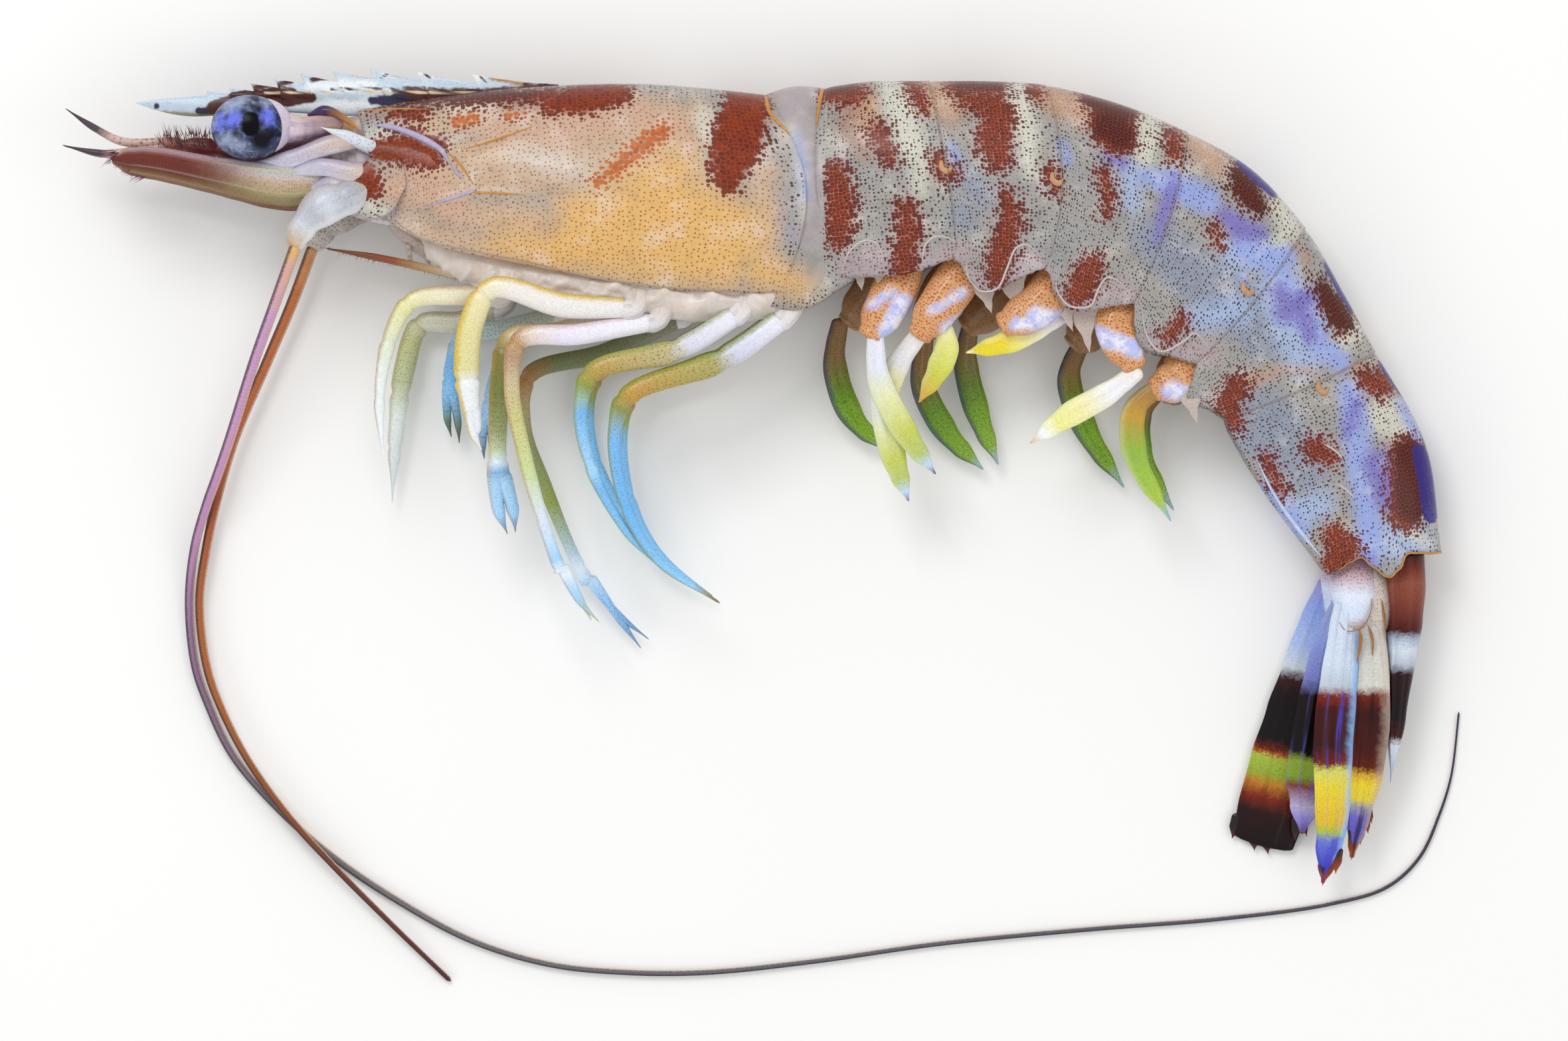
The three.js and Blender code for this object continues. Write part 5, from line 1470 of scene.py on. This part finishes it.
def make_legs():
    """The foot-jaws and the legs, pinched at each joint, the first three pairs with pincers, and the hips."""
    hips = []
    for name, (points, wide, claw, stops, edge, joints) in LEGS.items():
        reach = FINGERS_FROM if claw else 1.0
        at = [t / reach for t in joints]
        pinch = [(t, 0.16, 0.012) for t in at] + [(t + 0.03, -0.07, 0.02) for t in at]
        wide = [w * LEG_WIDTH for w in wide]
        thick = [w * LEG_THICKNESS for w in wide]
        shaft = limb(aside(points), wide, thick, sides=24, steps=130, pinch=pinch, span=(0, reach))
        fingers = make_fingers(points[-1], wide[-1], claw)
        hips.append(make_hip(points, wide[0]))
        finish = banded_finish(name.replace("_", " "), stops, ("8a4a1c", 0.75, 3.2, 0.17), edge, wobble=0.025)
        finish_piece(name, join([shaft, *fingers]), finish, [name])
    hip_stops = {0: "dfdfe8", 0.35: "dcd6d6", 0.6: "cdbfb0", 1: "c2ae98"}
    hip_finish = banded_finish("hip", hip_stops, None, streaks=("ab9482", 0.45, 1.4), wobble=0.15)
    finish_piece("hips", join(hips), hip_finish, ["thorax_floor"])


# ---- Swimmerets ----
# Root, then the route and tint of each blade
SWIMMERETS = {
    "swimmeret_1_left": (
        [(14.6, 27.4, 2.6), (12.6, 22.6, 3.2), (10.5, 18.8, 3.6)],
        [
            ([(11.2, 19.4, 3.6), (11.6, 14.8, 3.4), (14.4, 9.2, 3), (17.3, 5.2, 2.6)], "pale"),
            ([(11.2, 17.6, 3), (12, 11.4, 2.2), (13.2, 6.6, 1.8), (14.6, 2.5, 1.5)], "pale")
        ]
    ),
    "swimmeret_1_right": (
        [(13.4, 27, -2.6), (10.8, 23.2, -3), (8.4, 20.2, -3.3)],
        [([(7.8, 21, -3.3), (7.2, 16.4, -3.6), (8.9, 11.2, -4), (12.4, 7.6, -4.6)], "green")]
    ),
    "swimmeret_2_left": (
        [(21.2, 27.2, 2.8), (18, 22.6, 3.4), (15.4, 18.8, 3.7)],
        [
            ([(16.2, 20, 3.4), (13.6, 16.4, 1.6), (12.3, 13.6, 1.4), (11.2, 11.6, 1.3)], "white"),
            ([(17.6, 21, 3.3), (18.4, 18.2, 3.1), (17.6, 15.8, 2.7), (15.6, 12.4, 2.1)], "lime")
        ]
    ),
    "swimmeret_2_right": (
        [(20, 26.6, -2.6), (17.6, 22.6, -3), (16.3, 19, -3.3)],
        [([(16.4, 19.8, -3.3), (16, 14.6, -3.7), (18.4, 9.6, -4.2), (22.2, 5.7, -4.7)], "green")]
    ),
    "swimmeret_3_left": (
        [(30.6, 26, 2.8), (27.4, 22, 3.6), (23.6, 20, 3.9)],
        [([(30.4, 21.4, 2.6), (27.6, 20, 2.9), (24.4, 18.5, 2.8), (20.3, 17.4, 2.4)], "yellow")]
    ),
    "swimmeret_3_right": (
        [(27.8, 26, -2.6), (23.4, 22.4, -3), (20.2, 19.8, -3.3)],
        [([(20.9, 20.6, -3.3), (20.4, 16.6, -3.6), (21.6, 11.4, -4), (23.7, 6.2, -4.6)], "green")]
    ),
    "swimmeret_4_left": (
        [(36.6, 23.6, 2.8), (35.4, 20, 3.8), (37.4, 15.6, 4.3)],
        [([(37.8, 15.8, 4.3), (34.6, 13.4, 3.8), (30.4, 11, 3), (26.7, 8.3, 2.6)], "white")]
    ),
    "swimmeret_4_right": (
        [(36, 23.4, -2.6), (33, 20, -3), (31, 18, -3.2)],
        [([(32.2, 18.9, -3.2), (30.8, 15, -3.5), (32.6, 9.6, -3.9), (36.4, 3.9, -4.4)], "green")]
    ),
    "swimmeret_5_left": (
        [(43, 18, 2.4), (41.8, 15, 3), (38.8, 13.6, 3.2)],
        [([(40.2, 14.4, 3.2), (37.3, 11.8, 3), (37.3, 7.2, 2.6), (40.9, 0.5, 2.2)], "gold")]
    ),
    "swimmeret_5_right": (
        [(42.4, 17.6, -2.2), (41.4, 14.6, -2.6), (39.6, 13.2, -2.8)],
        [([(40.2, 14.2, -2.8), (38, 11.4, -3.1), (38, 7.4, -3.4), (41.4, 1.6, -3.9)], "green")]
    )
}
BLADE_STOPS = {
    "pale": {
        0: "e6e4ee", 0.25: "dfe2f0", 0.45: "e0e2b0", 0.65: "c4cc5a", 0.82: "b4c470", 0.92: "bcd6ee",
        1: "6a5a8a"
    },
    "green": {
        0: "946e48", 0.26: "8a683c", 0.4: "74722a", 0.52: "64881a", 0.7: "78a020", 0.88: "86ac34",
        0.95: "94b4a4", 1: "8ab4dc"
    },
    "white": {0: "f0e6e0", 0.3: "ececf2", 0.55: "ece6a8", 0.75: "e8e890", 0.88: "eef2f6", 1: "e0b880"},
    "lime": {0: "ece8e0", 0.3: "e2e088", 0.7: "cbd050", 1: "d8a040"},
    "yellow": {0: "e0d0d8", 0.25: "eee8e0", 0.55: "ece48a", 0.7: "e6d42e", 0.9: "e2d028", 1: "f0f0c0"},
    "gold": {
        0: "a07848", 0.2: "a87c38", 0.4: "c0962a", 0.5: "a8a03a", 0.65: "8cb43a", 0.9: "a4c440", 1: "80b0e0"
    }
}


def swimmeret_root_finish():
    """Orange skin, specked, with white and pale blue patches."""
    f = Finish("swimmeret root")
    grain = f.noise(0.9, 3)
    fine = f.noise(5.0)
    tone = f.mix(grain, "dcae7e", "c68c54")
    tone = f.mix(f.spots(0.85, 3.0, 0.27), tone, "a84414")
    tone = f.mix(
        f.field("white", grain, 1.2, -0.6, 0.4, 0.95), tone,
        f.mix(f.step(grain, 0.4, 0.6), "e4e6f4", "b4bff0")
    )
    tone = f.mix(f.spots(0.35, 3.2, 0.16), tone, "c0602c")
    return f.done(tone, 0.33, f.sum("MULTIPLY_ADD", fine, 0.5, grain), 0.05, 0.15)


def blade_finish(name, stops):
    """A blade's finish: the far, green ones are darkly specked and edged."""
    specks, edge = ("9a8a6a", 0.3, 4.2, 0.26), ("c8d0a0", 0.4)
    if name == "green":
        specks, edge = ("2c4a10", 0.6, 4.2, 0.26), ("24245c", 0.7)
    return banded_finish(f"{name} blade", stops, specks, edge, wobble=0.08)


def make_swimmerets():
    """Each swimmeret: a stout root and one or two curved blades."""
    root_finish = swimmeret_root_finish()
    far_finish = banded_finish("far swimmeret root", {0: "8a5a34", 1: "9a7450"}, ("5a2414", 0.5, 2.6, 0.2))
    patches = {
        "white": [
            [(1358, 458, 14), (1338, 500, 15)], [(1478, 470, 12), (1430, 500, 14)],
            [(1560, 478, 15), (1592, 486, 12), (1530, 490, 9)],
            [(1650, 506, 13), (1712, 528, 12)], [(1762, 588, 12), (1805, 603, 12)],
            [(1402, 470, 5), (1450, 440, 5)], [(1312, 460, 5), (1342, 440, 5)]
        ]
    }
    blades = {name: blade_finish(name, stops) for name, stops in BLADE_STOPS.items()}
    for name, (root, fins) in SWIMMERETS.items():
        finish = root_finish if name.endswith("left") else far_finish
        wide, thick = [1.9, 2.3, 2.1, 1.3], [0.9, 1.15, 1.05, 0.8]
        shape = {"pinch": [(0.9, 0.1, 0.05)], "ribs": [(0.2, 0.2, 0.16), (-0.5, 0.12, 0.1)], "square": 0.78}
        stem = limb(aside(root), wide, thick, sides=36, steps=60, cap=0.35, **shape)
        finish_piece(f"{name}_root", stem, finish, [name], patches)
        for k, (points, tint) in enumerate(fins):
            wide, thick = [0.85, 1.0, 1.25, 1.3, 0.95, 0.12], [0.45, 0.42, 0.38, 0.34, 0.24, 0.06]
            ribs = [(0.25, 0.5, 0.12), (-0.6, 0.3, 0.1)]
            blade = limb(aside(points), wide, thick, sides=28, steps=70, ribs=ribs)
            finish_piece(f"{name}_blade_{k + 1}", blade, blades[tint], [name])


# ---- Tail fan ----
# Route, half widths, half thicknesses, turn, colours along it, ribs, streaks on the dark bands, tinted edge
TAIL = {
    "telson": (
        [(64.2, -2.6, 4.1), (64.4, -8, 4.1), (64, -15, 4.2), (63.1, -25.8, 4.3)],
        [2.3, 2.3, 2.0, 1.5, 1.0, 0.05], [2.9, 2.8, 2.5, 1.7, 0.9, 0.08], 0,
        {0: "22060a", 0.1: "6a2418", 0.2: "8a4a38", 0.32: "7c3a2c", 0.42: "5a1a10", 0.46: "42100c",
         0.5: "a8b4c8", 0.55: "cfd8e6", 0.62: "b4bccb", 0.66: "26080a", 0.8: "12040a", 0.86: "3a100c",
         0.89: "cfd6e0", 1: "8aa8cc"},
        [(0.5, 0.5, 0.12)], None, None
    ),
    "uropod_inner_left": (
        [(60.6, -5.2, 5), (61, -13, 5.3), (60.9, -20, 5.2), (60.2, -27, 4.7), (59.2, -33.4, 4.2)],
        [1.2, 1.7, 2.0, 2.15, 1.9, 1.2, 0.25], [0.7, 0.55, 0.42, 0.36, 0.3, 0.2, 0.1], 0.25,
        {0: "b0a898", 0.176: "c8c8c4", 0.359: "cfcfc4", 0.391: "701c0c", 0.451: "340a06", 0.579: "420c06",
         0.652: "5c1608", 0.675: "c89a2c", 0.716: "e0c82c", 0.771: "d8c23a", 0.799: "9a98a0",
         0.835: "6a62c0", 0.927: "5c50b0", 0.954: "7a341c", 1: "7a341c"},
        [(0.35, 0.6, 0.09), (-0.15, 0.4, 0.05)], ("120608", 0.75, 3.2), ("c8b0a0", 0.5)
    ),
    "uropod_outer_left": (
        [(58.9, -6.2, 5.6), (58, -14, 5.8), (57.4, -21, 5.3), (57.3, -29, 4.6), (56.3, -36, 4)],
        [1.2, 1.6, 1.9, 2.1, 2.1, 1.95, 1.4, 0.2], [0.8, 0.6, 0.5, 0.44, 0.36, 0.3, 0.2, 0.1], -0.2,
        {0: "cfdaea", 0.24: "cddaea", 0.323: "bcc6d2", 0.36: "782010", 0.407: "400c06", 0.537: "340a06",
         0.588: "6c1c0a", 0.611: "cfd060", 0.666: "e2cc30", 0.778: "dcb82a", 0.815: "a8bc40",
         0.842: "6a78d0", 0.926: "3c44b8", 0.944: "1a1218", 0.958: "8a3c1c", 1: "7a3016"},
        [(0.62, 0.5, 0.1), (0.0, 0.5, 0.05), (-0.3, 0.4, 0.05)],
        ("4642c4", 0.7, 2.6), ("8fb8f0", 0.9)
    ),
    "uropod_inner_right": (
        [(58.4, -7.4, 2.6), (57, -13, 2.5), (55.8, -20, 2.3), (54.8, -26, 2.2), (54.3, -31, 2.1)],
        [1.1, 1.6, 2.0, 2.3, 2.4, 2.2, 1.5, 0.3], [0.6, 0.5, 0.42, 0.36, 0.32, 0.25, 0.2, 0.1], 0,
        {0: "9aa8d0", 0.2: "8a9ad8", 0.34: "7c84c8", 0.4: "16040e", 0.55: "0a0206", 0.62: "100406",
         0.66: "8aa032", 0.72: "7a9a30", 0.76: "7a3420", 0.86: "b0a8d0", 0.94: "8a82d0", 1: "5a2a20"},
        [(0.3, 0.5, 0.1)], ("5a52b8", 0.5, 2.4), None
    ),
    "uropod_outer_right": (
        [(57.4, -5.6, 1.1), (55.3, -12, 0.8), (53.6, -19, 0.7), (52, -26, 0.65), (50.3, -32.3, 0.6)],
        [1.4, 1.9, 2.3, 2.9, 3.4, 3.5, 3.1], [0.6, 0.5, 0.45, 0.4, 0.36, 0.34, 0.28], 0,
        {0: "9a90d0", 0.12: "8fa6e4", 0.25: "a8bce8", 0.34: "c8d0d8", 0.38: "360c0a", 0.44: "0c0206",
         0.6: "0a0206", 0.63: "5c1808", 0.65: "a85428", 0.665: "a4b442", 0.72: "8ea832", 0.76: "b87428",
         0.81: "7a2410", 0.87: "260a0a", 1: "100406"},
        [(-0.2, 0.5, 0.08), (0.4, 0.3, 0.08)], ("120608", 0.3, 2.6), None
    )
}
TAIL_KNOBS = {
    "left": ([(59, -2.4, 5), (59.4, -5.8, 5.5), (59.2, -10.6, 5.6)], [2.2, 2.6, 1.3], [1.3, 1.6, 0.9]),
    "right": ([(58.4, -2.4, 2.2), (58.2, -5.4, 1.9), (57.6, -9.4, 1.8)], [1.6, 2, 1.1], [1, 1.1, 0.6])
}


# Height, then (column, row) of each shred's foot and tip on the pattern sheet, and its width
TORN_ENDS = {
    "uropod_outer_left": (4.1, [(2004, 1276, 1993, 1336, 30), (2014, 1276, 2013, 1318, 22)]),
    "uropod_inner_left": (
        4.3,
        [(2040, 1248, 2036, 1297, 16), (2052, 1236, 2050, 1274, 15), (2062, 1218, 2067, 1242, 12),
         (2058, 1228, 2062, 1257, 12)]
    ),
    "uropod_outer_right": (
        0.6,
        [(1872, 1228, 1858, 1266, 26), (1893, 1246, 1892, 1284, 26), (1908, 1246, 1913, 1290, 26),
         (1924, 1240, 1932, 1277, 20), (1936, 1232, 1947, 1282, 14)]
    ),
    "uropod_inner_right": (2.0, [(1955, 1232, 1953, 1268, 16), (1962, 1228, 1971, 1262, 14)])
}


def make_tail():
    """The telson and four blades of the fan, and the two knobs over their roots."""
    knob_finish = banded_finish(
        "tail knob",
        {0: "a88a90", 0.32: "b89498", 0.48: "cdb8c4", 0.62: "dde5f4", 0.85: "cfdaf0", 1: "b89478"},
        # The blue-grey tint along one edge (a9b6d8) is painted shade.
        ("7a3a40", 0.7, 3.0, 0.22), ("a9b6d8", 0.4), wobble=0.12
    )
    for name, (points, wide, thick, turn, stops, ribs, streaks, edge) in TAIL.items():
        blade = limb(points, wide, thick, sides=56, steps=150, turn=turn, ribs=ribs, square=0.85, cap=0.2)
        finish = banded_finish(
            name.replace("_", " "), stops, ("160608", 0.22, 3.0, 0.2), other_edge=edge, streaks=streaks,
            dark_only=True, wobble=0.05, rough=0.42, glow=0.02, coat=0.2, shine=0.1
        )
        finish_piece(name, blade, finish, [name])
    for name, (points, wide, thick) in TAIL_KNOBS.items():
        knob = limb(points, wide, thick, sides=36, steps=50)
        finish_piece(f"uropod_knob_{name}", knob, knob_finish, [f"uropod_outer_{name}"])


def make_torn_ends():
    """The ragged ends of the fan's blades."""
    near_torn = banded_finish("torn end", {0: "140608", 0.3: "30100c", 0.55: "6c2810", 1: "9a4418"}, None)
    far_torn = banded_finish("far torn end", {0: "0a0306", 0.6: "1c080a", 1: "4a180e"}, None)
    for name, (height, shreds) in TORN_ENDS.items():
        flaps = []
        for x, y, tip_x, tip_y, width in shreds:
            foot, tip = off_sheet(x, y, height), off_sheet(tip_x, tip_y, height)
            half = tuple((a + b) / 2 for a, b in zip(foot, tip))
            wide = width / SHEET
            flaps.append(
                limb(
                    [foot, half, tip], [wide * 0.5, wide * 0.42, 0.03], [0.16, 0.12, 0.03], sides=16,
                    steps=30
                )
            )
        finish = near_torn if name.endswith("left") else far_torn
        finish_piece(f"{name}_shreds", join(flaps), finish, [name])


def make_tail_trim():
    """The fine gold ridges over the fan's roots, and the skin between them."""
    gold = plain_finish("tail gold", "845024", "b07c40")
    bits = [
        limb(
            [(59.9, -10.2, 6.7), (60, -11.6, 6.5), (59.6, -13.8, 6.2)],
            [0.05, 0.2, 0.17, 0.05], sides=12, steps=24
        ),
        limb(
            [(60.7, -9.8, 6.6), (61.2, -11.4, 6.4), (61.2, -13, 6.1)],
            [0.05, 0.16, 0.12, 0.05], sides=12, steps=24
        ),
        limb(
            [(57.6, -9.2, 6.4), (58.6, -10.5, 6.5), (60, -10.2, 6.7), (61, -8.6, 6.6), (61.1, -6, 6.4)],
            [0.03, 0.05, 0.06, 0.03], sides=10, steps=30
        ),
        limb(
            [(61.9, -6, 6.2), (62.3, -8.6, 6.4), (62.6, -11.5, 6.1)],
            [0.05, 0.12, 0.05], sides=10, steps=24
        )
    ]
    finish_piece("tail_gold_ridges", join(bits), gold, ["uropod_inner_left"])
    beige = skin_finish("tail skin", "b8ab9c", "cfc6bf", "7a5040", 0.4)
    skin = limb(
        [(60.6, -3.6, 5.4), (61.8, -7, 5.6), (62, -11.6, 5.3)],
        [0.8, 1.5, 1.3, 0.4], [0.8, 1, 0.8, 0.4], sides=20, steps=30
    )
    finish_piece("tail_skin", skin, beige, ["telson"])


WEB_OUT = 4.3  # how far the webs stand out from the middle plane


def make_flap_webs():
    """The thin webs between the side flaps."""
    webs = []
    for x, y, tip_x, tip_y in (
        (22.2, 23.4, 22.9, 21.3), (25, 23.6, 25.5, 21.3), (30.2, 21.8, 31, 19.5), (32.2, 20.2, 32.7, 17.3),
        (36.4, 18.2, 37.3, 15.9), (38.4, 19, 38.8, 16.9), (9.6, 25.6, 9.9, 23.6), (11.6, 25.4, 11.8, 23.9),
        (42.8, 12.6, 43.5, 10.3)
    ):
        z = middle_at(x) + WEB_OUT
        root = (x * 1.3 - tip_x * 0.3, y + 2.6, z)
        route = [root, (x, y + 0.5, z), ((x + tip_x) / 2, (y + tip_y) / 2, z), (tip_x, tip_y, z)]
        webs.append(limb(route, [1.9, 1.15, 0.4, 0.03], [0.12, 0.12, 0.1, 0.03], steps=30))
    pale = skin_finish("flap web", "a3948e", "b8a698", amount=0.3, glow=0.1)
    finish_piece("flap_webs", join(webs), pale, ["abdomen_2"])


STEM_HAIRS, SCALE_HAIRS, PALP_HAIRS = 150, 110, 60


def make_hairs():
    """Fine hairs on the antennules, on the ends of the antennal scales and on the left palp."""
    rng = random.Random(5)
    hair = plain_finish("hair", "4a1c26", "8a5058", 0.6)
    roots = []
    for _ in range(STEM_HAIRS):
        x = rng.uniform(-60.5, -54.5)
        y = 38.4 + rng.uniform(-0.6, 0.9)
        spot = (x, y, middle_at(x) + rng.uniform(0.6, 2.2))
        roots.append((spot, (rng.uniform(-0.5, 0.1), rng.uniform(0.5, 1.3), 0.3)))
    for _ in range(SCALE_HAIRS):
        w = rng.random()
        spot = (-65 + 3.6 * w, 37.8 - 2.2 * w - rng.uniform(0, 0.8), middle_at(-63) + 3.7)
        roots.append((spot, (rng.uniform(-1.4, -0.5), rng.uniform(-1.0, 0.1), 0)))
    finish_piece("head_hairs", bristles(roots, 11, 0.05), hair, ["antennule_left"])
    roots = []
    for _ in range(PALP_HAIRS):
        w = rng.random()
        roots.append(((-30.7 - 13 * w, 25.2 + 2.9 * w, middle_at(-36) + 2.6), (-0.3, -0.6, 0)))
    finish_piece("palp_hairs", bristles(roots, 12, 0.035), hair, ["palp_left"])


# ---- Camera, light and floor ----
LENS, SENSOR = 300.0, 36.0
SEEN_WIDTH, SEEN_HEIGHT = 157.4, 7.0  # what the picture spans, at this height over the board
SEEN_MIDDLE = (2.1, 0.6)  # the point straight under the camera
# Name, place and size in metres, and power in watts
LAMPS = (
    ("key", (-0.16, 0.34, 0.5), 0.24, 1.15), ("fill", (0.42, -0.12, 0.46), 0.36, 0.4),
    ("rim", (-0.40, -0.30, 0.36), 0.22, 0.25)
)
SKY_STRENGTH = 0.8
FLOOR_HALF, FLOOR_DROP = 1.2, 0.0001  # metres


def make_camera():
    """A long lens straight above the part."""
    lens = bpy.data.cameras.new("camera")
    lens.lens = LENS
    lens.sensor_width = SENSOR
    lens.clip_start, lens.clip_end = 0.1, 5.0
    camera = bpy.data.objects.new("camera", lens)
    camera.location = (
        SEEN_MIDDLE[0] * MM, SEEN_MIDDLE[1] * MM,
        (LENS * SEEN_WIDTH / SENSOR + SEEN_HEIGHT) * MM
    )
    bpy.context.collection.objects.link(camera)
    bpy.context.scene.camera = camera
    bpy.context.scene.view_settings.view_transform = "Standard"


def make_lights():
    """White surroundings and three soft lamps aimed at the part."""
    world = bpy.data.worlds.new("studio")
    world.use_nodes = True
    sky = world.node_tree.nodes["Background"]
    sky.inputs["Color"].default_value = (1.0, 1.0, 1.0, 1)
    sky.inputs["Strength"].default_value = SKY_STRENGTH
    bpy.context.scene.world = world
    for name, spot, size, power in LAMPS:
        lamp = bpy.data.lights.new(name, "AREA")
        lamp.size = size
        lamp.energy = power
        light = bpy.data.objects.new(name, lamp)
        light.location = spot
        light.rotation_euler = (-Vector(spot)).to_track_quat("-Z", "Y").to_euler()
        bpy.context.collection.objects.link(light)


def make_floor():
    """A white board under the part."""
    bm = bmesh.new()
    bmesh.ops.create_grid(bm, x_segments=1, y_segments=1, size=FLOOR_HALF)
    mesh = bpy.data.meshes.new("floor")
    bm.to_mesh(mesh)
    bm.free()
    floor = bpy.data.objects.new("floor", mesh)
    f = Finish("floor")
    mesh.materials.append(f.done(f.mix(f.noise(0.01), "f4f4f3", "f0f0ef"), 0.85, None, 0, 0.0, 0.0))
    floor.location.z = -FLOOR_DROP
    bpy.context.collection.objects.link(floor)


make_camera()
make_lights()
make_floor()
make_carapace()
make_abdomen()
make_skins()
make_rostrum()
make_eyes()
make_head_core()
make_cheeks()
make_antennules()
make_mouth()
make_feelers()
make_legs()
make_swimmerets()
make_tail()
make_torn_ends()
make_tail_trim()
make_flap_webs()
make_hairs()
